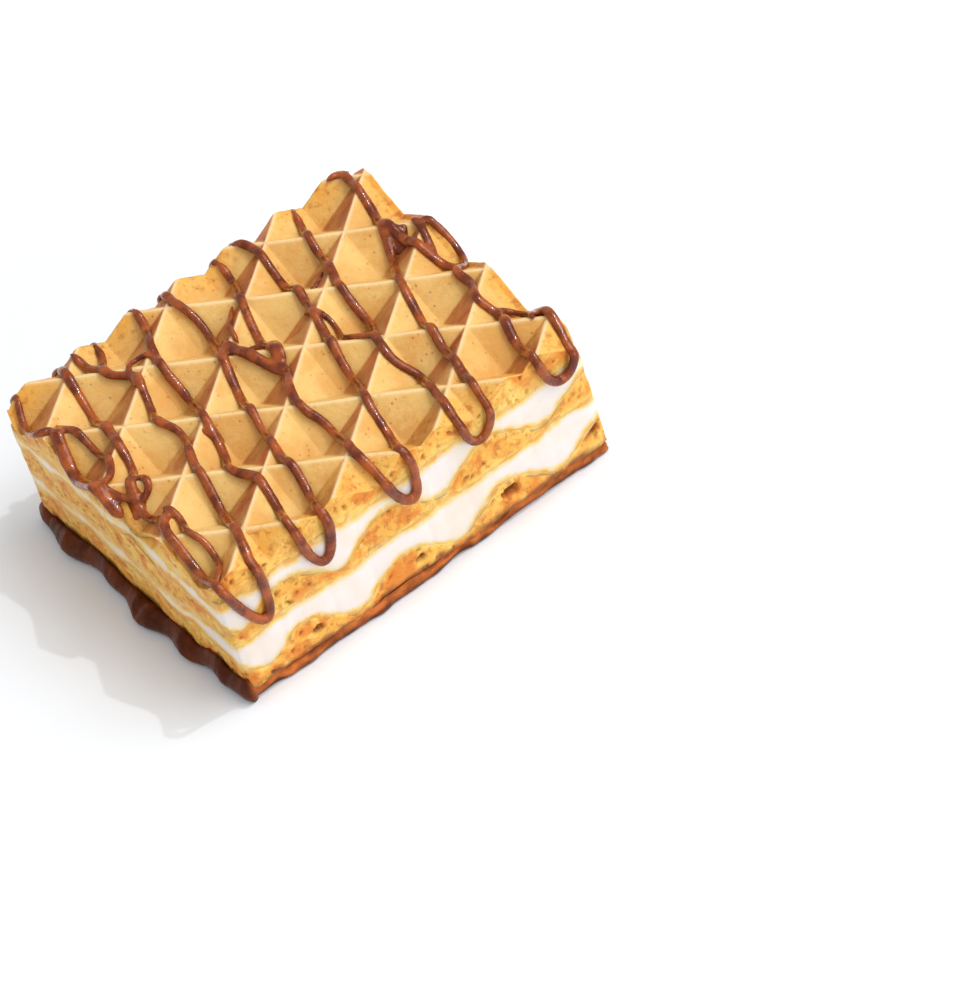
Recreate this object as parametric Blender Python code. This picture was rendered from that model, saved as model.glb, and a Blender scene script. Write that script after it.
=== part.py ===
"""A square of layered wafer: three waffle sheets with cream between, a chocolate base and a chocolate drizzle.

The waffle relief is one formula, shared by the sheets and by the cream that fills their pockets. The drizzle is
a set of strands that drape over the relief and hang over the cut front in loops, joined to the top sheet.
"""

import math
import random
from dataclasses import dataclass

import bmesh
import bpy
import numpy as np

MM = 0.001
SEED = 11

# Whole body, in millimetres: X along the cut front, Y towards the back, Z up from the underside.
LEFT_X, RIGHT_X = -24.5, 24.5
FRONT_Y, BACK_Y = -21.2, 21.4
GAP = 0.3
BASE_TOP = 1.3
BOTTOM_UNDER, BOTTOM_RIDGE = 1.6, 5.6
MIDDLE_UNDER, MIDDLE_RIDGE = 8.3, 12.7
TOP_UNDER, TOP_RIDGE = 14.3, 18.3

# Waffle pattern: ridges cross in rhombic cells, with one pocket in each.
CELL_X, CELL_Y = 13.7, 11.85
POCKET_DEPTH = 3.3
RIDGE_HALF = 0.03
FLOOR_HALF = 0.045
CELLS_REACH = 5
OVERRUN = 1.0

# Outline: uneven sides in short steps, with blunt corners.
SIDE_STEPS = 9
SIDE_ROUGHNESS = 0.12
CORNER_CUT = 0.5

# Base: a low rim on the left, above feet that have run out.
RIM_HEIGHT = 2.6
RIM_WIDTH = 0.95
FEET = ((14.0, 3.2, 1.3), (5.5, 2.0, 0.5), (-1.5, 3.4, 1.9), (-9.6, 2.6, 1.2), (-16.5, 2.0, 0.5))

# Drizzle
STRAND_HALF_WIDTH = 0.78
STRAND_HALF_HEIGHT = 0.5
STRAND_SIDES = 6
STATION_STEP = 2.2
STRAND_SINK = 0.18
LOOP_STEPS = 10
LOOP_STAND_OFF = 1.1
POOL_SIDES = 8


@dataclass(frozen=True)
class Sheet:
    """A waffle sheet: where its ridges cross, its ridge height, its underside and its own unevenness."""

    crossing: tuple
    ridge: float
    under: float
    phase: float

    def pocket_share(self, x, y):
        """0 on a ridge and 1 on the floor of a pocket."""
        p = (x - self.crossing[0]) / CELL_X
        q = (y - self.crossing[1]) / CELL_Y
        first = abs(p + q - round(p + q))
        second = abs(p - q - round(p - q))
        share = (min(first, second) - RIDGE_HALF) / (0.5 - RIDGE_HALF - FLOOR_HALF)
        return min(max(share, 0.0), 1.0)

    def height(self, x, y):
        """The top of the relief at a point."""
        slow = 0.12 * math.sin(0.21 * x + 0.13 * y + self.phase)
        quick = 0.07 * math.sin(0.37 * y - 0.19 * x + 2.3 * self.phase)
        return self.ridge - POCKET_DEPTH * self.pocket_share(x, y) + slow + quick


TOP = Sheet((3.29, 0.64), TOP_RIDGE, TOP_UNDER, 0.4)
MIDDLE = Sheet((-3.1, 2.5), MIDDLE_RIDGE, MIDDLE_UNDER, 1.7)
BOTTOM = Sheet((-2.6, 2.3), BOTTOM_RIDGE, BOTTOM_UNDER, 2.9)


@dataclass(frozen=True)
class Loop:
    """A loop that hangs over an edge: where it leaves and returns, and its lowest point."""

    x_from: float
    x_to: float
    x_tip: float
    z_tip: float


@dataclass(frozen=True)
class Line:
    """A strand from the back to the front edge, the loop it hangs there, and the strand that returns."""

    down: tuple
    loop: Loop
    back: tuple


LINES = (
    Line(
        down=((-16.7, 21.0), (-17.3, 16.5), (-18.0, 12.0), (-19.0, 5.5), (-20.0, 1.0), (-22.5, -3.4),
              (-22.5, -8.8), (-23.4, -11.8), (-23.4, -15.5), (-23.7, -20.4)),
        loop=Loop(-23.8, -18.5, -20.9, 10.6),
        back=((-18.4, -20.4), (-17.6, -15.5), (-16.2, -9.2), (-15.1, -4.2), (-13.3, 1.1), (-14.2, 4.2),
              (-12.6, 9.3), (-11.9, 12.2), (-14.0, 15.4), (-12.1, 19.5), (-11.8, 21.0)),
    ),
    Line(
        down=((-6.2, 21.0), (-6.5, 18.5), (-8.2, 14.2), (-9.1, 10.5), (-9.1, 6.8), (-10.4, 0.5),
              (-11.4, -3.8), (-13.2, -8.7), (-11.9, -11.7), (-12.5, -16.5), (-13.7, -20.4)),
        loop=Loop(-13.7, -9.9, -11.5, 11.8),
        back=((-9.9, -20.4), (-8.4, -15.0), (-8.0, -10.5), (-6.6, -4.0), (-5.2, 2.0), (-3.7, 6.6),
              (-1.9, 13.5), (-2.4, 17.5), (-2.4, 21.0)),
    ),
    Line(
        down=((5.0, 21.0), (4.9, 18.5), (2.9, 12.5), (1.3, 7.5), (0.6, 2.5), (-0.2, -0.8), (-1.6, -3.6),
              (-2.3, -7.0), (-1.5, -10.5), (-2.6, -17.5), (-2.4, -20.4)),
        loop=Loop(-2.4, 1.2, 0.2, 11.9),
        back=((1.0, -20.4), (2.2, -17.0), (2.9, -12.5), (4.6, -6.5), (5.3, -2.8), (6.9, 3.5), (8.2, 9.5),
              (8.4, 14.0), (8.7, 18.5), (7.6, 21.0)),
    ),
    Line(
        down=((15.7, 21.0), (15.2, 19.2), (13.8, 14.5), (13.2, 11.0), (11.5, 5.0), (11.2, 0.0), (9.4, -4.6),
              (8.9, -8.2), (10.2, -10.9), (9.0, -15.0), (8.2, -20.4)),
        loop=Loop(8.1, 11.9, 9.9, 13.3),
        back=((11.9, -20.4), (12.8, -15.5), (14.1, -9.0), (15.9, -1.4), (17.6, 3.8), (20.1, 9.0),
              (21.6, 13.5), (22.3, 18.5), (22.4, 21.0)),
    ),
    Line(
        down=((21.4, 12.4), (21.0, 8.0), (21.3, 4.0), (22.2, 1.0), (22.9, -1.6), (21.4, -3.3), (21.6, -5.5),
              (20.4, -8.6), (21.2, -11.4), (19.8, -15.5), (19.0, -20.4)),
        loop=Loop(18.9, 23.3, 21.2, 13.7),
        back=((23.5, -20.4), (24.2, -16.6), (23.7, -13.4)),
    ),
)

SHORT_STRANDS = (
    ((-22.4, 21.0), (-23.3, 19.6), (-24.0, 17.3), (-24.4, 13.2), (-22.4, 12.6)),
    ((-22.6, 12.3), (-23.6, 9.8), (-24.3, 7.0), (-24.7, 2.5), (-24.7, -1.0), (-24.5, -3.4)),
    ((-22.2, 13.1), (-21.3, 9.5), (-21.1, 6.0), (-21.3, 3.2), (-22.6, 1.0), (-24.1, 0.2), (-22.8, -3.0)),
    ((-20.4, -1.2), (-20.4, -3.4), (-22.2, -4.0)),
    ((-21.4, -7.6), (-20.9, -10.0), (-21.7, -13.2), (-21.1, -15.2), (-21.5, -18.0), (-23.2, -20.6)),
    ((-14.9, 20.8), (-14.5, 18.4), (-13.4, 14.4)),
    ((-12.9, 10.6), (-11.5, 14.0), (-9.8, 14.3), (-8.6, 12.4)),
    ((-3.8, 7.4), (-1.6, 3.6), (0.2, -0.6)),
    ((6.4, 5.6), (8.0, 2.6), (7.6, -1.6), (9.8, -5.4)),
    ((23.4, 8.2), (23.1, 5.6), (22.0, 2.0)),
    ((24.1, 6.9), (24.9, 3.9), (24.5, 0.6), (22.6, -2.4)),
    ((20.8, -10.4), (22.8, -10.9), (23.5, -13.8), (22.4, -16.4)),
    ((20.4, 20.7), (23.4, 20.6)),
)

BACK_LOOPS = (
    Loop(-22.4, -16.7, -19.8, 12.6),
    Loop(-11.8, -6.2, -9.0, 11.4),
    Loop(-2.4, 5.0, 1.2, 12.0),
    Loop(7.6, 15.7, 12.2, 10.8),
)


@dataclass(frozen=True)
class Pool:
    """A flat drop of chocolate gathered in a pocket: place, half sizes and turn."""

    x: float
    y: float
    wide: float
    deep: float
    turn: float = 0.7


POOLS = (
    Pool(-21.3, 4.0, 1.3, 1.0),
    Pool(-22.5, -3.3, 1.4, 1.0),
    Pool(-22.2, -8.8, 1.3, 1.0),
    Pool(-14.4, -2.6, 1.3, 0.9),
    Pool(-10.7, -1.2, 1.6, 1.2, 1.9),
    Pool(-9.8, -9.6, 1.6, 1.1),
    Pool(-2.3, 9.3, 1.6, 1.1),
    Pool(0.4, -0.6, 1.5, 1.1),
    Pool(0.9, -10.5, 2.0, 1.3),
    Pool(10.8, 9.6, 1.9, 1.2),
    Pool(12.2, -11.2, 2.2, 1.5),
    Pool(20.9, 7.4, 1.9, 1.3),
)


def clear_scene():
    for obj in list(bpy.data.objects):
        bpy.data.objects.remove(obj)


def make_material(name, colour, roughness):
    material = bpy.data.materials.new(name)
    material.use_nodes = True
    shader = material.node_tree.nodes["Principled BSDF"]
    shader.inputs["Base Color"].default_value = (*colour, 1.0)
    shader.inputs["Roughness"].default_value = roughness
    return material


def mesh_object(name, points, faces):
    """A mesh object from points in millimetres."""
    mesh = bpy.data.meshes.new(name)
    mesh.from_pydata([tuple(float(c) * MM for c in p) for p in points], [], faces)
    mesh.update()
    obj = bpy.data.objects.new(name, mesh)
    bpy.context.scene.collection.objects.link(obj)
    return obj


def close_outwards(obj):
    """Turns the faces of a closed mesh so that they all point out."""
    work = bmesh.new()
    work.from_mesh(obj.data)
    bmesh.ops.recalc_face_normals(work, faces=work.faces)
    if work.calc_volume(signed=True) < 0:
        bmesh.ops.reverse_faces(work, faces=work.faces)
    work.to_mesh(obj.data)
    work.free()
    return obj


def lattice_stations(fine):
    """Grid lines across the cells: with ridge and floor widths when fine, else a ridge and a middle line each."""
    lines = []
    for k in range(-CELLS_REACH, CELLS_REACH + 1):
        if fine:
            lines += [k - RIDGE_HALF, k + RIDGE_HALF, k + 0.5 - FLOOR_HALF, k + 0.5 + FLOOR_HALF]
        else:
            lines += [float(k), k + 0.5]
    return lines


def relief_slab(name, sheet, flat_z, fine=False, lift=0.0):
    """A closed slab between a waffle relief and a flat plane, wider than the body on every side."""
    lines = lattice_stations(fine)
    count = len(lines)
    points = []
    for s in lines:
        for t in lines:
            x = sheet.crossing[0] + CELL_X * (s + t) / 2
            y = sheet.crossing[1] + CELL_Y * (s - t) / 2
            points.append((x, y, sheet.height(x, y) + lift))
    falls = [(lines[i] + lines[i + 1]) / 2 % 1.0 < 0.5 for i in range(count - 1)]
    faces = []
    for i in range(count - 1):
        for j in range(count - 1):
            a, b = i * count + j, (i + 1) * count + j
            c, d = b + 1, a + 1
            # The crease of a pocket runs from its ridge corner to its floor.
            faces += [(a, c, b), (a, d, c)] if falls[i] == falls[j] else [(a, d, b), (b, d, c)]
    rim = [i * count for i in range(count)]
    rim += [(count - 1) * count + j for j in range(1, count)]
    rim += [i * count + count - 1 for i in range(count - 2, -1, -1)]
    rim += list(range(count - 2, 0, -1))
    start, total = len(points), len(rim)
    points += [(points[k][0], points[k][1], flat_z) for k in rim]
    for k in range(total):
        after = (k + 1) % total
        faces.append((rim[k], rim[after], start + after, start + k))
    faces.append(tuple(range(start + total - 1, start - 1, -1)))
    return close_outwards(mesh_object(name, points, faces))


def outline(seed, grow=0.0, roughness=SIDE_ROUGHNESS, corner_cut=CORNER_CUT, steps=SIDE_STEPS):
    """The rectangle of the body, seen from above, with slightly uneven sides and blunt corners."""
    chance = random.Random(seed)
    corners = [(LEFT_X, FRONT_Y), (RIGHT_X, FRONT_Y), (RIGHT_X, BACK_Y), (LEFT_X, BACK_Y)]
    points = []
    for k, (x0, y0) in enumerate(corners):
        x1, y1 = corners[(k + 1) % 4]
        length = math.hypot(x1 - x0, y1 - y0)
        along = ((x1 - x0) / length, (y1 - y0) / length)
        out = (along[1], -along[0])
        for step in range(steps + 1):
            distance = corner_cut + (length - 2 * corner_cut) * step / steps
            push = grow + chance.uniform(-roughness, roughness)
            x = x0 + along[0] * distance + out[0] * push
            y = y0 + along[1] * distance + out[1] * push
            points.append((x, y))
    return points


def prism(name, rings):
    """A closed prism through rings of (x, y, z) points, lowest ring first."""
    count = len(rings[0])
    points = [p for ring in rings for p in ring]
    faces = [tuple(range(count - 1, -1, -1))]
    for level in range(len(rings) - 1):
        for k in range(count):
            after = (k + 1) % count
            a, b = level * count + k, level * count + after
            faces.append((a, b, b + count, a + count))
    top = (len(rings) - 1) * count
    faces.append(tuple(range(top, top + count)))
    return close_outwards(mesh_object(name, points, faces))


def at_height(points, z):
    return [(x, y, z) for x, y in points]


def apply_modifiers(obj):
    """Puts the evaluated mesh in the place of the object's own."""
    graph = bpy.context.evaluated_depsgraph_get()
    done = bpy.data.meshes.new_from_object(obj.evaluated_get(graph))
    obj.modifiers.clear()
    obj.data = done


def keep_largest_shell(obj):
    """Fills the hollows that a union seals and drops loose scraps: only the largest connected surface stays."""
    work = bmesh.new()
    work.from_mesh(obj.data)
    left = set(work.verts)
    shells = []
    while left:
        stack = [left.pop()]
        shell = set(stack)
        while stack:
            vert = stack.pop()
            near = {edge.other_vert(vert) for edge in vert.link_edges} - shell
            shell |= near
            stack += near
        left -= shell
        shells.append(shell)
    largest = max(shells, key=len)
    scraps = [vert for shell in shells if shell is not largest for vert in shell]
    bmesh.ops.delete(work, geom=scraps, context="VERTS")
    work.to_mesh(obj.data)
    work.free()


def cut_with(obj, other, operation):
    """Cuts away, or keeps only, what the second mesh covers, and removes the second."""
    change = obj.modifiers.new("cut", "BOOLEAN")
    change.operation = operation
    change.solver = "EXACT"
    change.object = other
    apply_modifiers(obj)
    bpy.data.objects.remove(other)
    return obj


def build_sheet(name, sheet, seed, fine=False, corner_cut=CORNER_CUT):
    slab = relief_slab(name, sheet, sheet.under, fine)
    lower = at_height(outline(seed, corner_cut=corner_cut), sheet.under - OVERRUN)
    upper = at_height(outline(seed + 1, corner_cut=corner_cut), sheet.ridge + OVERRUN)
    return cut_with(slab, prism("sheet_outline", [lower, upper]), "INTERSECT")


def build_cream(name, below, top, seed):
    """Cream that fills the pockets of the sheet under it and bulges a little between the sheets."""
    slab = relief_slab(name, below, top, lift=GAP)
    rings = [
        at_height(outline(seed, -0.15), below.ridge - POCKET_DEPTH - OVERRUN),
        at_height(outline(seed + 1, 0.0), below.ridge - 1.2),
        at_height(outline(seed + 2, 0.12, 0.08), (below.ridge + top) / 2),
        at_height(outline(seed + 3, -0.1), top + OVERRUN),
    ]
    return cut_with(slab, prism("cream_outline", rings), "INTERSECT")


def foot(y):
    """How far the base has run out past the left edge at a point along it."""
    return sum(size * math.exp(-(((y - at) / half) ** 2)) for at, half, size in FEET)


def build_base(name, seed):
    """The chocolate under the lowest sheet, with a low rim and run-out feet along the left edge."""
    steps = 14
    plan = outline(seed, 0.05, 0.1, steps=steps)
    inset = outline(seed + 1, -0.45, 0.1, steps=steps)
    spread = [RIM_WIDTH + foot(y) if x < LEFT_X + 1.0 else 0.0 for x, y in plan]
    tops = [RIM_HEIGHT + 0.35 * math.sin(1.1 * y) + 0.2 * math.sin(2.3 * y) for _, y in plan]
    tops = [(BASE_TOP + top) / 2 if out else BASE_TOP for top, out in zip(tops, spread)]
    rings = [
        [(x - out, y, 0.0) for (x, y), out in zip(inset, spread)],
        [(x - out, y, 0.45) for (x, y), out in zip(plan, spread)],
        [(x - out, y, 0.85) for (x, y), out in zip(plan, spread)],
        [(x - 0.8 * out, y, top) for (x, y), out, top in zip(plan, spread, tops)],
    ]
    body = prism(name, rings)
    room = outline(seed + 2, GAP + 0.2, 0.0)
    cutter = prism("base_room", [at_height(room, BASE_TOP), at_height(room, BOTTOM_RIDGE)])
    return cut_with(body, cutter, "DIFFERENCE")


def smooth_path(points):
    """Points about one station apart on a curve through the given ones."""
    ends = [points[0], *points, points[-1]]
    found = []
    for k in range(1, len(ends) - 2):
        p0, p1, p2, p3 = (np.array(ends[k + d], float) for d in (-1, 0, 1, 2))
        parts = max(1, round(float(np.linalg.norm(p2 - p1)) / STATION_STEP))
        for part in range(parts):
            t = part / parts
            straight = 2 * p1 + (p2 - p0) * t
            bend = (2 * p0 - 5 * p1 + 4 * p2 - p3) * t**2
            twist = (3 * p1 - p0 - 3 * p2 + p3) * t**3
            found.append(0.5 * (straight + bend + twist))
    found.append(np.array(points[-1], float))
    return found


def draped(points):
    """The path of a strand that lies over the relief of the top sheet."""
    path = []
    for x, y in smooth_path(points):
        on_x = min(max(x, LEFT_X + 0.3), RIGHT_X - 0.3)
        on_y = min(max(y, FRONT_Y + 0.2), BACK_Y - 0.2)
        beside = ((0, 0), (0, 0.5), (0, -0.5), (0.4, 0), (-0.4, 0))
        heights = [TOP.height(on_x + dx, on_y + dy) for dx, dy in beside]
        z = 0.5 * max(heights) + 0.5 * sum(heights) / len(heights) + STRAND_SINK
        path.append((x, y, z - 0.9 * max(0.0, x - RIGHT_X) - 0.5 * max(0.0, LEFT_X - x)))
    return path


def hanging(loop, side):
    """The path of a loop over the front (side -1) or back (side 1) edge, clear of the layers under the top sheet."""
    edge = FRONT_Y if side < 0 else BACK_Y
    top = TOP_RIDGE - 1.4
    middle = 0.5 * (loop.x_from + loop.x_to)
    path = []
    for k in range(LOOP_STEPS + 1):
        angle = math.pi * k / LOOP_STEPS
        drop = math.sin(angle) ** 0.75
        x = middle - 0.5 * (loop.x_to - loop.x_from) * math.cos(angle) + (loop.x_tip - middle) * drop
        z = top + (loop.z_tip - top) * drop
        out = 0.1 + (LOOP_STAND_OFF - 0.1) * min(1.0, (top - z) / 2.0)
        path.append((x, edge + side * out, z))
    return path


def strand(name, path, seed, scale=1.0):
    """A closed ribbon-like tube along a path, its flat side towards what it lies on."""
    chance = random.Random(seed)
    path = [np.array(p, float) for p in path]
    last = len(path) - 1
    points = []
    for k, at in enumerate(path):
        tangent = path[min(k + 1, last)] - path[max(k - 1, 0)]
        hang = min(max((abs(at[1]) - (abs(FRONT_Y) - 0.6)) / 1.4, 0.0), 1.0)
        up = np.array([0.0, math.copysign(hang, at[1]), 1.0 - hang])
        side = np.cross(tangent, up)
        side /= np.linalg.norm(side)
        up = np.cross(side, tangent / np.linalg.norm(tangent))
        taper = scale * (0.55 if k in (0, last) else 1.0)
        wide = STRAND_HALF_WIDTH * taper * chance.uniform(0.88, 1.12)
        high = STRAND_HALF_HEIGHT * taper * chance.uniform(0.93, 1.07)
        for corner in range(STRAND_SIDES):
            angle = 2 * math.pi * (corner + 0.5) / STRAND_SIDES
            points.append(at + side * wide * math.cos(angle) + up * high * math.sin(angle))
    rings = [points[k * STRAND_SIDES : (k + 1) * STRAND_SIDES] for k in range(last + 1)]
    return prism(name, rings)


def build_pool(name, pool):
    """A flattened drop, lowest ring first."""
    z = TOP.height(pool.x, pool.y) + 0.35
    c, s = math.cos(pool.turn), math.sin(pool.turn)
    rings = []
    for tilt in (math.radians(degrees) for degrees in (-60, -15, 35, 70)):
        ring = []
        for turn in range(POOL_SIDES):
            angle = 2 * math.pi * turn / POOL_SIDES
            px = pool.wide * math.cos(tilt) * math.cos(angle)
            py = pool.deep * math.cos(tilt) * math.sin(angle)
            ring.append((pool.x + c * px - s * py, pool.y + s * px + c * py, z + 0.75 * math.sin(tilt)))
        rings.append(ring)
    return prism(name, rings)


def drizzle_pieces():
    """Every strand, loop and pool, as closed meshes to join with the top sheet."""
    made = []
    for k, line in enumerate(LINES):
        path = draped(line.down) + hanging(line.loop, -1) + draped(line.back)
        made.append(strand(f"strand_{k}", path, SEED + k))
    for k, points in enumerate(SHORT_STRANDS):
        made.append(strand(f"short_strand_{k}", draped(points), SEED + 20 + k, 0.84))
    for k, loop in enumerate(BACK_LOOPS):
        hung = hanging(loop, 1)
        first = (loop.x_from, BACK_Y - 1.0, hung[0][2] + 0.2)
        last = (loop.x_to, BACK_Y - 1.0, hung[-1][2] + 0.2)
        made.append(strand(f"back_loop_{k}", [first, *hung, last], SEED + 40 + k, 1.06))
    for k, pool in enumerate(POOLS):
        made.append(build_pool(f"pool_{k}", pool))
    return made


def join_drizzle(sheet):
    """One Boolean union of the top sheet with every strand, after which the strands go."""
    group = bpy.data.collections.new("drizzle")
    bpy.context.scene.collection.children.link(group)
    for obj in drizzle_pieces():
        bpy.context.scene.collection.objects.unlink(obj)
        group.objects.link(obj)
    join = sheet.modifiers.new("join", "BOOLEAN")
    join.operation = "UNION"
    join.operand_type = "COLLECTION"
    join.collection = group
    join.solver = "EXACT"
    join.use_self = True
    apply_modifiers(sheet)
    keep_largest_shell(sheet)
    for obj in list(group.objects):
        bpy.data.objects.remove(obj)
    bpy.data.collections.remove(group)


def main():
    clear_scene()
    wafer = make_material("wafer", (0.84, 0.58, 0.27), 0.75)
    cream = make_material("cream", (0.93, 0.85, 0.72), 0.6)
    chocolate = make_material("chocolate", (0.26, 0.10, 0.05), 0.3)

    top = build_sheet("wafer_top", TOP, SEED, fine=True, corner_cut=0.9)
    join_drizzle(top)
    middle = build_sheet("wafer_middle", MIDDLE, SEED + 4)
    bottom = build_sheet("wafer_bottom", BOTTOM, SEED + 8)
    upper = build_cream("cream_upper", MIDDLE, TOP_UNDER - GAP, SEED + 12)
    lower = build_cream("cream_lower", BOTTOM, MIDDLE_UNDER - GAP, SEED + 16)
    base = build_base("chocolate_base", SEED + 40)

    dressed = ((wafer, (top, middle, bottom)), (cream, (upper, lower)), (chocolate, (base,)))
    for material, objects in dressed:
        for obj in objects:
            obj.data.materials.clear()
            obj.data.materials.append(material)


if __name__ == "__main__":
    main()
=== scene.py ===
"""A square of layered wafer, dressed for a plain studio picture.

Three waffle sheets with cream between them stand on a coat of milk chocolate. A chocolate drizzle runs over
the top sheet and hangs over the cut edges in loops. Lengths are in millimetres until a mesh is made. X runs
along the cut front, Y towards the back, and Z up from the underside.
"""

import itertools
import logging
import math
from collections.abc import Callable, Iterable, Iterator, Sequence
from dataclasses import dataclass
from enum import Enum

import bmesh
import bpy
import numpy as np
from mathutils import Matrix, Vector


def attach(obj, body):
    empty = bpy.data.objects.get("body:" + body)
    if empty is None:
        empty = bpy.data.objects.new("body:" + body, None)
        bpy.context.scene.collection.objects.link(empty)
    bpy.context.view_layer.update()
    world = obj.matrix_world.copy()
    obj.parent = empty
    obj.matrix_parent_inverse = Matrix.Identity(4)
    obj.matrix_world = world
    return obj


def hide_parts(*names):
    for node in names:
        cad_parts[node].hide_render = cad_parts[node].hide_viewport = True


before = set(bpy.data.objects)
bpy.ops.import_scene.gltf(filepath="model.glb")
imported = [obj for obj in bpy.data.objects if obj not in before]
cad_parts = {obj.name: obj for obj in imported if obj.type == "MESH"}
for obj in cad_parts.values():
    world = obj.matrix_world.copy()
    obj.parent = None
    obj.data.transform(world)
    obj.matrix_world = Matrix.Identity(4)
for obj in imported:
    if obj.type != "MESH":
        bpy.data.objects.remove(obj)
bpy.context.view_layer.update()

MM = 0.001
BODY = "root"
STEPS_ACROSS = 210
STEPS_DEEP = 180
LOG = logging.getLogger("wafer")


def linear(red: float, green: float, blue: float) -> tuple[float, float, float, float]:
    """Turns a colour as a screen shows it, 0 to 255, into the linear colour that shaders take.

    Args:
        red: The red share.
        green: The green share.
        blue: The blue share.

    Returns:
        The linear colour, with full opacity.
    """
    shares = (channel / 255.0 for channel in (red, green, blue))
    made = [s / 12.92 if s <= 0.04045 else ((s + 0.055) / 1.055) ** 2.4 for s in shares]
    return made[0], made[1], made[2], 1.0


def rise(values: np.ndarray, low: float, high: float) -> np.ndarray:
    """Rises smoothly from 0 at low to 1 at high.

    Args:
        values: What to read.
        low: Where the rise starts.
        high: Where it ends, which may be below low.

    Returns:
        Shares from 0 to 1.
    """
    share = np.clip((values - low) / (high - low), 0.0, 1.0)
    return share * share * (3.0 - 2.0 * share)


def cell_chance(cells: np.ndarray, seed: int) -> np.ndarray:
    """Gives each whole-number cell an even chance that depends on nothing else.

    Args:
        cells: Cell numbers, three to a row.
        seed: Which set of chances to read.

    Returns:
        One value from 0 to 1 for each row.
    """
    whole = (cells.astype(np.int64) + 200000).astype(np.uint64)
    mixed = whole[..., 0] * np.uint64(374761393) + whole[..., 1] * np.uint64(668265263)
    mixed = mixed + whole[..., 2] * np.uint64(1440662683) + np.uint64(seed * 974634777)
    for shift, factor in ((13, 1274126177), (15, 2246822519)):
        mixed = mixed & np.uint64(0xFFFFFFFF)
        mixed = (mixed ^ (mixed >> np.uint64(shift))) * np.uint64(factor)
    return ((mixed >> np.uint64(7)) & np.uint64(0xFFFFFF)).astype(float) / float(0xFFFFFF)


def soft_noise(points: np.ndarray, size: float, seed: int) -> np.ndarray:
    """Reads smooth noise from -1 to 1.

    Args:
        points: Places in millimetres, three numbers to a row.
        size: The width of one swell.
        seed: Which noise to read.

    Returns:
        One value for each point.
    """
    place = points / size
    base = np.floor(place)
    part = place - base
    part = part * part * (3.0 - 2.0 * part)
    total = np.zeros(len(points))
    for corner in itertools.product((0, 1), repeat=3):
        near = np.array(corner)
        weight = np.prod(np.where(near == 1, part, 1.0 - part), axis=1)
        total += weight * cell_chance(base + near, seed)
    return 2.0 * total - 1.0


def rough_noise(points: np.ndarray, size: float, seed: int, octaves: int = 3) -> np.ndarray:
    """Reads noise with ever finer swells laid over it.

    Args:
        points: Places in millimetres, three numbers to a row.
        size: The width of the widest swell.
        seed: Which noise to read.
        octaves: How many sizes are laid over each other, each half the one before.

    Returns:
        One value for each point, from -1 to 1.
    """
    total = sum(soft_noise(points, size / 2**k, seed + k) / 2**k for k in range(octaves))
    return total / (2.0 - 2.0 ** (1 - octaves))


@dataclass(frozen=True)
class Swell:
    """One layer of unevenness: how much, how wide its swells are, and which noise it reads."""

    amount: float
    size: float
    seed: int
    octaves: int = 3

    def at(self, points: np.ndarray, seed: int = 0) -> np.ndarray:
        """Reads it at each point, from the noise that lies seed places after its own."""
        return self.amount * rough_noise(points, self.size, self.seed + seed, self.octaves)


@dataclass(frozen=True)
class Wave:
    """A long wave across a sheet: its height, how fast it turns along X and Y, and its share of a phase."""

    height: float
    along_x: float
    along_y: float
    shift: float = 1.0

    def at(self, x: np.ndarray, y: np.ndarray, phase: float) -> np.ndarray:
        """Reads the wave at each place, for a sheet of the given phase."""
        return self.height * np.sin(self.along_x * x + self.along_y * y + self.shift * phase)


@dataclass(frozen=True)
class Pores:
    """Round air pores in a baked crumb: their spacing, how many cells have one, and their radius."""

    spacing: float
    share: float
    radius: float
    seed: int
    bend: float = 0.45
    bend_size: float = 1.3
    smallest: float = 0.45

    def depth(self, points: np.ndarray) -> np.ndarray:
        """How deep in a pore each point lies.

        Args:
            points: Places in millimetres, three numbers to a row.

        Returns:
            0 outside every pore and 1 at the middle of one.
        """
        bent = [soft_noise(points, self.bend_size * self.radius, self.seed + 11 + k) for k in range(3)]
        points = points + self.bend * self.radius * np.stack(bent, axis=1)
        base = np.floor(points / self.spacing)
        deepest = np.zeros(len(points))
        for offset in itertools.product((-1, 0, 1), repeat=3):
            cell = base + np.array(offset)
            shift = np.stack([cell_chance(cell, self.seed + k) for k in range(3)], axis=1)
            centre = (cell + shift) * self.spacing
            size = self.smallest + (1.0 - self.smallest) * cell_chance(cell, self.seed + 3)
            there = cell_chance(cell, self.seed + 4) < self.share
            away = ((points - centre) ** 2).sum(axis=1) / (self.radius * size) ** 2
            deepest = np.maximum(deepest, np.where(there, np.clip(1.0 - away, 0.0, 1.0), 0.0))
        return deepest


SKIN_PORES = Pores(1.9, 0.4, 0.3, 81)


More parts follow.
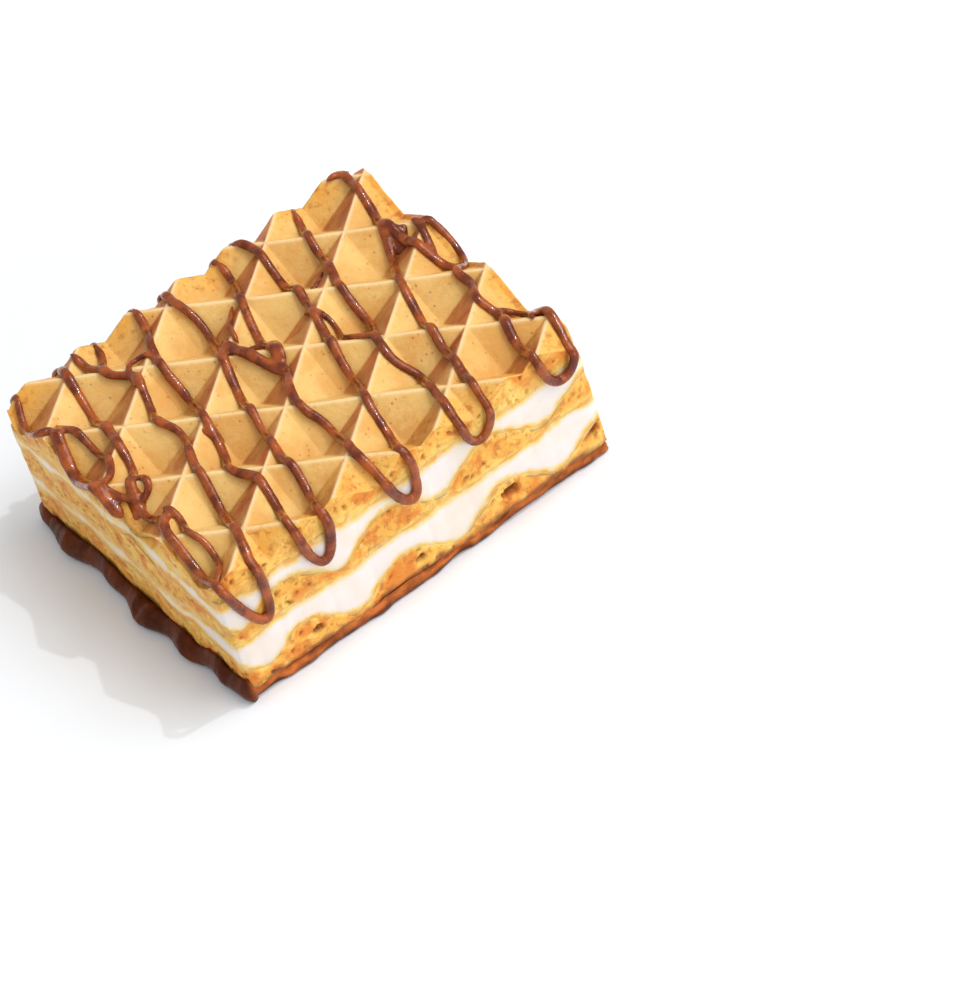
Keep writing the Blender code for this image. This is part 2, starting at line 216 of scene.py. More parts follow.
@dataclass(frozen=True)
class Waffle:
    """The relief of one sheet: ridges that cross in rhombic cells, with a pocket in each."""

    crossing: tuple[float, float]
    ridge: float
    under: float
    phase: float
    cell_x: float = 13.7
    cell_y: float = 11.85
    pocket_depth: float = 3.3
    ridge_half: float = 0.01
    floor_half: float = 0.015
    rounding: float = 0.035
    fold: float = 0.004
    waves: tuple[Wave, ...] = (Wave(0.12, 0.21, 0.13), Wave(0.07, -0.19, 0.37, 2.3))
    calm: float = 0.0
    calm_share: float = 0.0
    calm_zone: tuple[float, float] = (-20.0, -23.6)
    calm_ripple: Wave = Wave(0.1, 0.0, 0.9)
    corner_share: float = 0.6
    corner_zone: tuple[float, float] = (-6.0, -20.0)
    under_relief: float = 0.25
    under_wave: Wave = Wave(0.2, 0.33, 0.33)
    under_cross: Wave = Wave(0.16, 0.8, 0.0)
    under_cross_turn: float = 0.7
    # Chocolate run down the walls that face away from the light, together with painted shade there: where it
    # starts, how it thins and how soft its edge is.
    film_and_shade_gap: float = 0.004
    film_thinning: float = 0.5
    film_and_shade_soft: float = 0.03

    def pocket_share(self, x: np.ndarray, y: np.ndarray) -> np.ndarray:
        """Reads how far down a pocket each point lies.

        Args:
            x: Places along the front.
            y: Places towards the back.

        Returns:
            0 on a ridge and 1 on a pocket's floor.
        """
        p = (x - self.crossing[0]) / self.cell_x
        q = (y - self.crossing[1]) / self.cell_y
        first = np.abs(p + q - np.round(p + q))
        second = np.abs(p - q - np.round(p - q))
        least = np.minimum(first, second)
        nearest = least - self.fold * np.log1p(np.exp(-np.abs(first - second) / self.fold))
        share = (nearest - self.ridge_half) / (0.5 - self.ridge_half - self.floor_half)
        share = np.clip(share, 0.0, 1.0)
        soft = self.rounding
        eased = np.where(share < soft, share**2 / (2 * soft), share - soft / 2)
        eased = np.where(share > 1 - soft, 1 - soft - (1 - share) ** 2 / (2 * soft), eased)
        return eased / (1 - soft)

    def left_wall(self, x: np.ndarray, y: np.ndarray) -> np.ndarray:
        """Finds the pocket walls that look left and back, away from the key light; chocolate and painted
        shade go on them.

        Args:
            x: Places along the front.
            y: Places towards the back.

        Returns:
            1 at the ridge above such a wall, less further down it, and 0 elsewhere.
        """
        p = (x - self.crossing[0]) / self.cell_x
        q = (y - self.crossing[1]) / self.cell_y
        below = p - q - np.round(p - q)
        other = np.abs(p + q - np.round(p + q))
        near = np.where(below < -self.film_and_shade_gap, 1.0 + self.film_thinning * below, 0.0)
        return near * rise(other + below, -self.film_and_shade_soft, self.film_and_shade_soft)

    def height(self, x: np.ndarray, y: np.ndarray) -> np.ndarray:
        """Reads the top of the relief, which is calmer near the left side.

        Args:
            x: Places along the front.
            y: Places towards the back.

        Returns:
            Heights above the underside of the whole piece.
        """
        share = self.pocket_share(x, y)
        level = self.calm_share + self.corner_share * rise(y, *self.corner_zone)
        level = level + self.calm_ripple.at(x, y, self.phase)
        share = share + self.calm * rise(x, *self.calm_zone) * (level - share)
        waves = sum(wave.at(x, y, self.phase) for wave in self.waves)
        return self.ridge - self.pocket_depth * share + waves

    def underside(self, x: np.ndarray, y: np.ndarray) -> np.ndarray:
        """Reads the sheet's underside, which is wavy.

        Args:
            x: Places along the front.
            y: Places towards the back.

        Returns:
            Heights above the underside of the whole piece.
        """
        wave = self.under_cross.at(x, y, self.phase) * np.cos(self.under_cross_turn * y)
        wave = wave + self.under_wave.at(x, y, self.phase)
        return self.under + self.under_relief * (0.5 - self.pocket_share(x, y)) + wave

    def stations(self) -> np.ndarray:
        """Lists grid lines across the cells, close together where the relief turns.

        Returns:
            Places in cells, from one side of the piece to the other.
        """
        half = [0.0, 0.016, 0.032, 0.052, *np.linspace(0.08, 0.44, 14), 0.472, 0.5]
        cell = [*half, *(1.0 - step for step in half[-2:0:-1])]
        return np.array([k + step for k in range(-5, 6) for step in cell])

    def place(self, s: np.ndarray, t: np.ndarray) -> tuple[np.ndarray, np.ndarray]:
        """Turns places in cells into places seen from above."""
        return self.crossing[0] + self.cell_x * (s + t) / 2, self.crossing[1] + self.cell_y * (s - t) / 2


TOP = Waffle((3.29, 0.64), 18.3, 14.3, 0.4)
MIDDLE = Waffle((-3.1, 2.5), 12.7, 8.3, 1.7, rounding=0.25, fold=0.03, calm=0.8, calm_share=0.06)
BOTTOM = Waffle((-2.6, 2.3), 5.6, 1.6, 2.9, rounding=0.25, fold=0.03, calm=0.8, calm_share=-0.3)


@dataclass(frozen=True)
class Outline:
    """The uneven rectangle that a layer fills, seen from above."""

    seed: int
    corner: float = 0.6
    wobble: float = 0.14
    wobble_size: float = 5.0
    crumbs: float = 0.16
    crumb_size: float = 1.1
    side_gap: float = 9.0
    left: float = -24.5
    right: float = 24.5
    front: float = -21.2
    back: float = 21.4
    fade: float = 1.5
    nearness: float = 0.01

    def warp(self, x: np.ndarray, y: np.ndarray) -> tuple[np.ndarray, np.ndarray]:
        """Moves points of the plain rectangle to where they lie on the uneven one.

        Args:
            x: Places along the front.
            y: Places towards the back.

        Returns:
            The moved places.
        """
        inner = (x - self.left, self.right - x, y - self.front, self.back - y)
        for across, deep in itertools.product((0, 1), (2, 3)):
            cut = np.clip(2 * self.corner - inner[across] - inner[deep], 0.0, None) / 4
            x = x + cut * (1 if across == 0 else -1)
            y = y + cut * (1 if deep == 2 else -1)
        for side, (distance, along) in enumerate(zip(inner, (y, y, x, x))):
            line = np.stack([along, np.full_like(along, self.side_gap * side), np.zeros_like(along)], axis=1)
            out = self.wobble * soft_noise(line, self.wobble_size, self.seed + side)
            lost = rough_noise(line, self.crumb_size, self.seed + 9 + side)
            out = out - self.crumbs * np.clip(lost, 0.0, 1.0)
            out = out * np.clip(1.0 - distance / self.fade, 0.0, 1.0)
            x = x + out * (-1, 1, 0, 0)[side]
            y = y + out * (0, 0, -1, 1)[side]
        return x, y

    def perimeter(self) -> tuple[np.ndarray, np.ndarray]:
        """Gives points right round the plain rectangle, anticlockwise from the left end of the front.

        Returns:
            The points, and the direction out of the rectangle at each.
        """
        across, deep = STEPS_ACROSS, STEPS_DEEP
        xs = np.linspace(self.left, self.right, across + 1)
        ys = np.linspace(self.front, self.back, deep + 1)
        sides = (
            np.stack([xs[:-1], np.full(across, self.front)], axis=1),
            np.stack([np.full(deep, self.right), ys[:-1]], axis=1),
            np.stack([xs[:0:-1], np.full(across, self.back)], axis=1),
            np.stack([np.full(deep, self.left), ys[:0:-1]], axis=1),
        )
        plan = np.concatenate(sides)
        return plan, self.outward(plan)

    def outward(self, plan: np.ndarray) -> np.ndarray:
        """Finds the direction out of the plain rectangle for points round its perimeter.

        Args:
            plan: The points, in order.

        Returns:
            A direction for each.
        """
        near = self.nearness
        out = np.zeros_like(plan)
        out[:, 0] = (plan[:, 0] > self.right - near).astype(float) - (plan[:, 0] < self.left + near)
        out[:, 1] = (plan[:, 1] > self.back - near).astype(float) - (plan[:, 1] < self.front + near)
        out = (np.roll(out, 2, axis=0) + out + np.roll(out, -2, axis=0)) / 3.0
        return out / np.linalg.norm(out, axis=1, keepdims=True)

    def inset(self, plan: np.ndarray, depth: float) -> np.ndarray:
        """Draws points of the plain perimeter in towards the middle.

        Args:
            plan: Points of the plain perimeter.
            depth: How far in they go.

        Returns:
            The points, on the uneven outline's own unevenness where that still reaches.
        """
        middle = np.array([(self.left + self.right) / 2, (self.front + self.back) / 2])
        half = np.array([(self.right - self.left) / 2, (self.back - self.front) / 2])
        drawn = middle + (plan - middle) * (1.0 - depth / half)
        return np.stack(self.warp(drawn[:, 0], drawn[:, 1]), axis=1)

    def rings(
        self, plan: np.ndarray, depths: tuple[float, ...], height: Callable[[np.ndarray, np.ndarray], object]
    ) -> Iterator[np.ndarray]:
        """Draws rings ever further in.

        Args:
            plan: Points of the plain perimeter.
            depths: How far in each ring lies.
            height: Gives a ring's height, or one for each point, from its places along X and Y.

        Yields:
            The places of each ring.
        """
        for depth in depths:
            inner = self.inset(plan, depth)
            yield np.column_stack([inner, np.broadcast_to(height(*inner.T), len(inner))])


class MeshDraft:
    """Points, faces and masks of a piece that is still being made."""

    def __init__(self, *masks: str) -> None:
        """Starts an empty piece.

        Args:
            *masks: Names of the masks that each point carries for the finish.
        """
        self.points: list[np.ndarray] = []
        self.quads: list[np.ndarray] = []
        self.caps: list[list[int]] = []
        self.masks: dict[str, list[np.ndarray]] = {name: [] for name in masks}
        self.count = 0

    def add(self, points: np.ndarray, **masks: np.ndarray) -> np.ndarray:
        """Adds points.

        Args:
            points: Places in millimetres, three numbers to a row.
            **masks: A value for each point of each mask. A mask left out is 0 there.

        Returns:
            The numbers of the new points.
        """
        numbers = np.arange(self.count, self.count + len(points))
        self.points.append(points)
        for name, kept in self.masks.items():
            kept.append(np.broadcast_to(masks.get(name, 0.0), (len(points),)).astype(float))
        self.count += len(points)
        return numbers

    def band(self, lower: np.ndarray, upper: np.ndarray) -> None:
        """Joins two closed rings of as many points with faces.

        Args:
            lower: Point numbers of the first ring.
            upper: Point numbers of the second.
        """
        after_lower, after_upper = np.roll(lower, -1), np.roll(upper, -1)
        self.quads.append(np.stack([lower, after_lower, after_upper, upper], axis=1))

    def loft(self, rings: Sequence[np.ndarray]) -> None:
        """Joins each ring of a stack to the next."""
        for lower, upper in zip(rings[:-1], rings[1:]):
            self.band(lower, upper)

    def close(self, ring: np.ndarray, inner: Iterable[np.ndarray], turned: bool = False) -> None:
        """Closes a ring with rings further in, and the last of them with one face.

        Args:
            ring: Point numbers of the ring.
            inner: The places of each ring further in.
            turned: Whether the faces look down.
        """
        for places in inner:
            numbers = self.add(places)
            self.loft((numbers, ring) if turned else (ring, numbers))
            ring = numbers
        self.cap(ring, turned)

    def cap(self, ring: np.ndarray, turned: bool = False) -> None:
        """Closes a ring with one face.

        Args:
            ring: Point numbers of the ring.
            turned: Whether the face looks the other way.
        """
        self.caps.append((ring[::-1] if turned else ring).tolist())

    def faces(self, faces: list[list[int]]) -> None:
        """Adds faces by their point numbers."""
        self.caps += faces

    def build(self, name: str) -> bpy.types.Object:
        """Makes the piece.

        Args:
            name: The piece's name.

        Returns:
            The new object, smoothly shaded.
        """
        mesh = bpy.data.meshes.new(name)
        faces = np.concatenate(self.quads).tolist() + self.caps
        mesh.from_pydata((np.concatenate(self.points) * MM).tolist(), [], faces)
        mesh.update()
        for mask, kept in self.masks.items():
            layer = mesh.attributes.new(mask, "FLOAT", "POINT")
            layer.data.foreach_set("value", np.concatenate(kept).astype(np.float32))
        piece = bpy.data.objects.new(name, mesh)
        bpy.context.scene.collection.objects.link(piece)
        face_outwards(piece)
        smooth_shading(piece)
        return piece


def face_outwards(piece: bpy.types.Object) -> None:
    """Turns the faces of a closed piece so that they all look out.

    Args:
        piece: The piece to turn.
    """
    work = bmesh.new()
    work.from_mesh(piece.data)
    if work.calc_volume(signed=True) < 0:
        bmesh.ops.reverse_faces(work, faces=work.faces)
    work.to_mesh(piece.data)
    work.free()


def smooth_shading(piece: bpy.types.Object) -> None:
    """Shades every face of a piece smoothly."""
    piece.data.polygons.foreach_set("use_smooth", [True] * len(piece.data.polygons))


def register(piece: bpy.types.Object, node: str, material: bpy.types.Material) -> None:
    """Puts a piece in the place of a frame node, on its body and with its finish.

    Args:
        piece: The piece.
        node: The node that it stands for.
        material: Its finish.
    """
    piece.data.materials.clear()
    piece.data.materials.append(material)
    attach(piece, BODY)
    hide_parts(node)
    piece.data.calc_loop_triangles()
    LOG.info("%s: %d triangles", piece.name, len(piece.data.loop_triangles))


@dataclass(frozen=True)
class Pit:
    """A hole in the front cut: its place along the front, its height and its size."""

    along: float
    z: float
    wide: float
    high: float
    deep: float


@dataclass(frozen=True)
class CutFace:
    """The crumb that shows where a layer was cut through."""

    seed: int
    swell: Swell = Swell(0.12, 3.2, 0, 2)
    swell_inward: float = 0.024
    crumb: Swell = Swell(0.09, 0.8, 5, 2)
    pore_depth: float = 0.42
    pores: Pores = Pores(0.95, 0.5, 0.34, 40)
    pits: tuple[Pit, ...] = ()
    pit_swell: Swell = Swell(0.35, 0.7, 8, 1)
    # How far into a pit the dark pore colour reaches, which is painted shade in the pit.
    pit_dark: float = 0.45
    faces_front: float = 0.9

    def carve(
        self, points: np.ndarray, out: np.ndarray, strength: np.ndarray
    ) -> tuple[np.ndarray, np.ndarray]:
        """Roughens a ring of points on a cut.

        Args:
            points: The ring, in millimetres.
            out: The direction out of the cut at each point.
            strength: How much of the roughness each point takes, 0 to 1.

        Returns:
            The roughened ring, and how deep in a pore each point lies.
        """
        rough = self.swell.at(points, self.seed) - self.swell_inward + self.crumb.at(points, self.seed)
        pore = self.pores.depth(points) * strength
        inward = -rough * strength + self.pore_depth * np.sqrt(pore) * strength
        for pit in self.pits:
            away = ((points[:, 0] - pit.along) / pit.wide) ** 2 + ((points[:, 2] - pit.z) / pit.high) ** 2
            away = away * (1.0 + self.pit_swell.at(points, self.seed))
            front = -out[:, 1] > self.faces_front
            inside = np.where(front, np.clip(1.0 - away, 0.0, 1.0), 0.0)
            inward = inward + pit.deep * np.sqrt(inside)
            # The pit is marked for the dark pore colour, which is painted shade in it.
            pore = np.maximum(pore, rise(inside, 0.0, self.pit_dark))
        moved = points.copy()
        moved[:, :2] -= out * inward[:, None]
        return moved, pore


@dataclass(frozen=True)
class Flake:
    """The stretch of the left edge where the top sheet has broken away, and the crack beside it."""

    at: float = -5.0
    half: float = 6.2
    squareness: int = 3
    bite: float = 1.25
    bite_swell: Swell = Swell(0.5, 1.3, 33)
    lift: float = 0.75
    within_x: float = -22.0
    above_z: float = 12.0
    crack_at: float = 3.6
    crack_lean: float = 2.8
    crack_top: float = 16.2
    crack_drop: float = 7.0
    crack_half: float = 0.42
    crack_depth: float = 0.7
    crack_bend: float = 0.2
    crack_turn: float = 2.1
    crack_widening: float = 1.15

    def share(self, points: np.ndarray) -> np.ndarray:
        """How much of the break each point of the left side has, 0 to 1."""
        near = np.clip(1.0 - np.abs((points[:, 1] - self.at) / self.half) ** self.squareness, 0.0, 1.0)
        return np.where((points[:, 0] < self.within_x) & (points[:, 2] > self.above_z), near, 0.0)

    def crack(self, points: np.ndarray) -> np.ndarray:
        """Finds the crack beside the break, which narrows downwards.

        Args:
            points: Places in millimetres, three numbers to a row.

        Returns:
            1 in the middle of the crack and 0 outside it, for each point.
        """
        down = np.clip((self.crack_top - points[:, 2]) / self.crack_drop, 0.0, 1.0)
        line = self.crack_at - self.crack_lean * down
        line = line + self.crack_bend * np.sin(self.crack_turn * points[:, 2])
        half = self.crack_half * (self.crack_widening - down)
        near = np.clip(1.0 - np.abs(points[:, 1] - line) / half, 0.0, 1.0)
        inside = (points[:, 0] < self.within_x) & (down > 0.0) & (down < 1.0)
        return np.where(inside, near, 0.0)


def rim_of(net: bmesh.types.BMesh, start: Vector) -> np.ndarray:
    """Walks round the edge of a flat net.

    Args:
        net: The net, its faces looking up.
        start: Where the walk begins.

    Returns:
        The numbers of the edge's points, anticlockwise.
    """
    after = {}
    for edge in net.edges:
        if edge.is_boundary:
            loop = edge.link_loops[0]
            after[loop.vert.index] = loop.link_loop_next.vert.index
    net.verts.ensure_lookup_table()
    first = min(after, key=lambda number: (net.verts[number].co - start).length)
    walk = [first]
    while after[walk[-1]] != first:
        walk.append(after[walk[-1]])
    return np.array(walk)


@dataclass(frozen=True)
class WaferSheet:
    """A baked sheet with a waffle relief on top and rough cut edges all round."""

    name: str
    node: str
    waffle: Waffle
    cut: CutFace
    outline: Outline = Outline(100)
    flake: Flake | None = None
    full_top: bool = False
    cream_below: bool = True
    wall_rings: int = 14
    skin: tuple[Swell, ...] = (Swell(0.06, 2.4, 61), Swell(0.02, 0.7, 71))
    skin_pore_depth: float = 0.13
    ridge_share: float = 0.048
    # The width of the pale crest band, which is partly a painted highlight.
    rim_zone: tuple[float, float] = (5.2, 1.8)
    rim_swell: Swell = Swell(1.2, 2.6, 91, 2)
    rim_less: float = 1.6
    # How much of the walls that face away from the light carry chocolate and painted shade, and how that
    # varies.
    film_and_shade_share: float = 0.74
    film_and_shade_swells: tuple[Swell, ...] = (Swell(0.4, 6.0, 97, 1), Swell(0.24, 2.6, 99))
    film_and_shade_edge: Swell = Swell(0.8, 1.6, 98, 1)
    film_and_shade_core: float = 0.55
    hem_swell: Swell = Swell(0.26, 1.5, 45)
    shoulder_swell: Swell = Swell(0.26, 1.4, 46)
    bite_shape: float = 0.6
    rim_ease: tuple[float, float] = (0.0, 0.14)
    hem_ease: tuple[float, float] = (1.06, 0.9)
    hollow: float = 0.1
    torn_roughness: float = 1.4
    mask_swell: Swell = Swell(0.45, 1.3, 51, 2)
    crack_zone: tuple[float, float] = (0.1, 0.7)
    stain_zone: tuple[float, float] = (0.9, 0.0)
    stain_ragged: float = 1.6
    smear_zone: tuple[float, float] = (1.3, 0.0)
    smear_inside: float = 0.5
    baked_zone: tuple[float, float] = (0.05, 0.75)
    baked_ragged: float = 0.9
    top_baked_zone: tuple[float, float] = (3.4, 0.8)
    top_baked_ragged: float = 1.2

    def flat(self, plan: np.ndarray) -> np.ndarray:
        """Gives places seen from above a third number, so that each sheet reads noise of its own."""
        return np.stack([plan[:, 0], plan[:, 1], np.full(len(plan), self.waffle.phase)], axis=1)

    def relief(self, plan: np.ndarray) -> np.ndarray:
        """Reads the baked surface, with its small unevenness.

        Args:
            plan: Places seen from above, two numbers to a row.

        Returns:
            A height for each place.
        """
        flat = self.flat(plan)
        height = self.waffle.height(*plan.T) + sum(swell.at(flat) for swell in self.skin)
        return height - self.skin_pore_depth * SKIN_PORES.depth(flat)

    def surface_masks(self, plan: np.ndarray) -> dict[str, np.ndarray]:
        """Gives the masks of the baked surface.

        Args:
            plan: Places seen from above, two numbers to a row.

        Returns:
            The masks by name.
        """
        line, flat = self.outline, self.flat(plan)
        sides = np.minimum(plan[:, 0] - line.left, line.right - plan[:, 0])
        edge = np.minimum(plan[:, 1] - line.front, np.minimum(sides, line.back - plan[:, 1]) + self.rim_less)
        return {
            # The pale crest band: partly the crest's own colour, partly a painted highlight.
            "ridge": rise(self.waffle.pocket_share(*plan.T), self.ridge_share, 0.0),
            "rim": rise(edge + self.rim_swell.at(flat), *self.rim_zone),
            "pore": SKIN_PORES.depth(flat),
            # The walls that face away from the light get chocolate with painted shade.
            "film_and_shade": self.waffle.left_wall(*plan.T) * self.coated_and_shaded(flat),
        }

    def coated_and_shaded(self, places: np.ndarray) -> np.ndarray:
        """Reads how much chocolate, together with painted shade, covers the walls that face away from the
        light.

        Args:
            places: Places in millimetres, three numbers to a row.

        Returns:
            0 where the walls are bare and 1 where they are fully painted with chocolate and shade.
        """
        share = self.film_and_shade_share + sum(swell.at(places) for swell in self.film_and_shade_swells)
        for x, y, reach in FILM_AND_SHADE_SPOTS:
            near = np.hypot(places[:, 0] - x, places[:, 1] - y) + self.film_and_shade_edge.at(places)
            share = np.maximum(share, rise(near, reach, self.film_and_shade_core * reach))
        return np.clip(share, 0.0, 1.0)

    def wall(self, draft: MeshDraft, rim: np.ndarray, top: np.ndarray, out: np.ndarray) -> np.ndarray:
        """Builds the cut edge from the rim down to the underside.

        Args:
            draft: The piece being made.
            rim: Point numbers of the top rim.
            top: Their places.
            out: The direction out of the sheet at each.

        Returns:
            The point numbers of the lowest ring.
        """
        low = self.waffle.underside(*top[:, :2].T)
        if self.cream_below:
            low = low + self.hem_swell.at(top * (1.0, 1.0, 0.0), self.outline.seed)
        broken = np.zeros(len(top))
        if self.full_top:
            broken = self.flake.share(top)
            low = low + self.flake.lift * broken
        above = rim
        for ring in range(1, self.wall_rings + 1):
            share = ring / self.wall_rings
            place = top.copy()
            place[:, 2] = top[:, 2] + (low - top[:, 2]) * share
            if self.full_top:
                bitten = broken * (1.0 + self.flake.bite_swell.at(place))
                bitten = bitten * self.flake.bite * math.sin(math.pi * share**self.bite_shape)
                place[:, :2] -= out * bitten[:, None]
            eased = rise(np.array(share), *self.rim_ease) * rise(np.array(share), *self.hem_ease)
            place, pore = self.cut.carve(place, out, float(eased) * (1.0 + self.torn_roughness * broken))
            crack = np.zeros(len(top))
            if self.flake:
                crack = self.flake.crack(place)
                place[:, :2] -= out * (self.flake.crack_depth * crack)[:, None]
            masks = self.cut_masks(place, top[:, 2] - place[:, 2], place[:, 2] - low)
            # The crack is marked for the dark pore colour, which is painted shade in it.
            masks["crack"] = rise(crack, *self.crack_zone)
            now = draft.add(place, cut=1.0, pore=pore, torn=broken, **masks)
            draft.band(now, above)
            above = now
        return above

    def cut_masks(self, place: np.ndarray, fall: np.ndarray, rest: np.ndarray) -> dict[str, np.ndarray]:
        """Gives the masks of a ring on the cut edge.

        Args:
            place: The ring, in millimetres.
            fall: How far each point lies under the rim.
            rest: How far it lies above the underside.

        Returns:
            The masks by name.
        """
        ragged = self.mask_swell.at(place)
        skin = np.minimum(fall, rest) if self.cream_below else fall
        baked = rise(skin + self.baked_ragged * ragged, *self.baked_zone)
        if not self.cream_below:
            return {"baked": baked, "stain": rise(rest + self.stain_ragged * ragged, *self.stain_zone)}
        smear = rise(rest + ragged, *self.smear_zone)
        if self.full_top:
            baked = rise(fall - self.top_baked_ragged * ragged, *self.top_baked_zone)
            return {"smear": smear, "baked": baked}
        return {"smear": self.smear_inside * smear, "baked": baked}

    def build(self) -> bpy.types.Object:
        """Builds the sheet.

        Returns:
            The new piece.
        """
        draft = MeshDraft("cut", "pore", "smear", "baked", "stain", "ridge", "rim", "film_and_shade", "torn", "crack")
        if self.full_top:
            rim, top, plain = self.top_field(draft)
            out = self.outline.outward(plain)
        else:
            plain, out = self.outline.perimeter()
            rim, top = self.top_rings(draft, plain)
        lowest = self.wall(draft, rim, top, out)
        inner = self.outline.rings(plain, UNDER_RINGS, lambda x, y: self.waffle.underside(x, y) + self.hollow)
        draft.close(lowest, inner, turned=True)
        piece = draft.build(self.name)
        if self.full_top:
            self.crisp_creases(piece)
        return piece

    def crisp_creases(
        self, piece: bpy.types.Object, least: float = 0.2, steepest: float = 0.5, slant: float = 0.04
    ) -> None:
        """Keeps the creases where pocket walls meet crisp under the smooth shading.

        Args:
            piece: The sheet.
            least: The smallest turn of a crease, in radians.
            steepest: How far up the faces beside a crease look at least.
            slant: How far a crease may turn from the X or the Y direction.
        """
        work = bmesh.new()
        work.from_mesh(piece.data)
        for edge in work.edges:
            if len(edge.link_faces) != 2 or min(face.normal.z for face in edge.link_faces) < steepest:
                continue
            way = edge.verts[1].co - edge.verts[0].co
            straight = min(abs(way.x), abs(way.y)) < slant * way.xy.length
            if straight and edge.calc_face_angle(0.0) > least:
                edge.smooth = False
        work.to_mesh(piece.data)
        work.free()

    def top_field(self, draft: MeshDraft) -> tuple[np.ndarray, np.ndarray, np.ndarray]:
        """Covers the whole top with a net that follows the ridges, cut off at the outline.

        Args:
            draft: The piece being made.

        Returns:
            Point numbers of the rim, their places, and where they lie on the plain perimeter.
        """
        net = self.ridge_net()
        plain = np.array([vert.co[:2] for vert in net.verts])
        rim = rim_of(net, Vector((self.outline.left, self.outline.front, 0.0)))
        faces = [[vert.index for vert in face.verts] for face in net.faces]
        net.free()
        plan = np.stack(self.outline.warp(plain[:, 0], plain[:, 1]), axis=1)
        places = np.column_stack([plan, self.relief(plain)])
        draft.add(places, **self.surface_masks(plain))
        draft.faces(faces)
        return rim, places[rim], plain[rim]

    def ridge_net(self, spare: float = 0.6, least: float = 0.05) -> bmesh.types.BMesh:
        """Makes a flat net of triangles along the ridges and the creases of the pockets.

        Args:
            spare: How far past the rectangle points are kept before the net is cut off.
            least: The shortest step that is left along its edge.

        Returns:
            The net, inside the plain rectangle.
        """
        line = self.outline
        lines = self.waffle.stations()
        x, y = self.waffle.place(*np.meshgrid(lines, lines, indexing="ij"))
        inside = (x > line.left - spare) & (x < line.right + spare)
        inside &= (y > line.front - spare) & (y < line.back + spare)
        numbers = np.arange(x.size).reshape(x.shape)
        a, b, c, d = numbers[:-1, :-1], numbers[1:, :-1], numbers[1:, 1:], numbers[:-1, 1:]
        wanted = inside[:-1, :-1] | inside[1:, :-1] | inside[1:, 1:] | inside[:-1, 1:]
        falling = (lines[:-1] + lines[1:]) / 2 % 1.0 < 0.5
        crease = (falling[:, None] == falling[None, :])[..., None]
        one = np.where(crease, np.stack([a, c, b], axis=-1), np.stack([a, d, b], axis=-1))[wanted]
        two = np.where(crease, np.stack([a, d, c], axis=-1), np.stack([b, d, c], axis=-1))[wanted]
        used, faces = np.unique(np.concatenate([one, two]), return_inverse=True)
        mesh = bpy.data.meshes.new("ridge_net")
        points = np.stack([x.ravel()[used], y.ravel()[used], np.zeros(len(used))], axis=1)
        mesh.from_pydata(points.tolist(), [], faces.reshape(-1, 3).tolist())
        net = bmesh.new()
        net.from_mesh(mesh)
        bpy.data.meshes.remove(mesh)
        planes = (
            ((line.left, 0, 0), (-1, 0, 0)),
            ((line.right, 0, 0), (1, 0, 0)),
            ((0, line.front, 0), (0, -1, 0)),
            ((0, line.back, 0), (0, 1, 0)),
        )
        for at, out in planes:
            whole = [*net.verts, *net.edges, *net.faces]
            bmesh.ops.bisect_plane(net, geom=whole, dist=1e-4, plane_co=at, plane_no=out, clear_outer=True)
        rim = [vert for vert in net.verts if vert.is_boundary]
        bmesh.ops.remove_doubles(net, verts=rim, dist=least)
        net.verts.index_update()
        return net

    def top_rings(self, draft: MeshDraft, plain: np.ndarray) -> tuple[np.ndarray, np.ndarray]:
        """Covers a top that other layers hide with rings that widen towards the middle.

        Args:
            draft: The piece being made.
            plain: The plain perimeter.

        Returns:
            Point numbers and places of the rim.
        """
        plan = self.outline.inset(plain, 0.0)
        places = np.column_stack([plan, self.relief(plan)])
        places[:, 2] += self.shoulder_swell.at(places * (1.0, 1.0, 0.0), self.outline.seed)
        rim = draft.add(places, cut=1.0, smear=self.smear_inside)
        outer = rim
        for depth in INNER_RINGS:
            plan = self.outline.inset(plain, depth)
            numbers = draft.add(np.column_stack([plan, self.relief(plan)]), **self.surface_masks(plan))
            draft.band(outer, numbers)
            outer = numbers
        draft.cap(outer)
        return rim, places


# Spots near the strands where the walls that face away from the light are fully painted with chocolate and
# painted shade: place and reach.
FILM_AND_SHADE_SPOTS = (
    (6.0, 6.8, 3.6),
    (-1.0, 0.6, 3.4),
    (0.4, -10.6, 3.8),
    (-7.6, 3.8, 3.0),
    (12.4, -11.4, 4.0),
    (11.0, 9.6, 3.6),
    (-9.8, -9.8, 3.2),
    (-14.6, -2.8, 3.0),
    (-21.6, 3.6, 3.4),
    (-21.8, -9.2, 3.0),
    (20.6, 7.0, 3.6),
)
INNER_RINGS = (0.25, 0.6, 1.1, 1.8, 2.7, 3.9, 5.4, 7.2, 9.4, 12.0, 15.0, 18.5)
UNDER_RINGS = (0.8, 3.0)


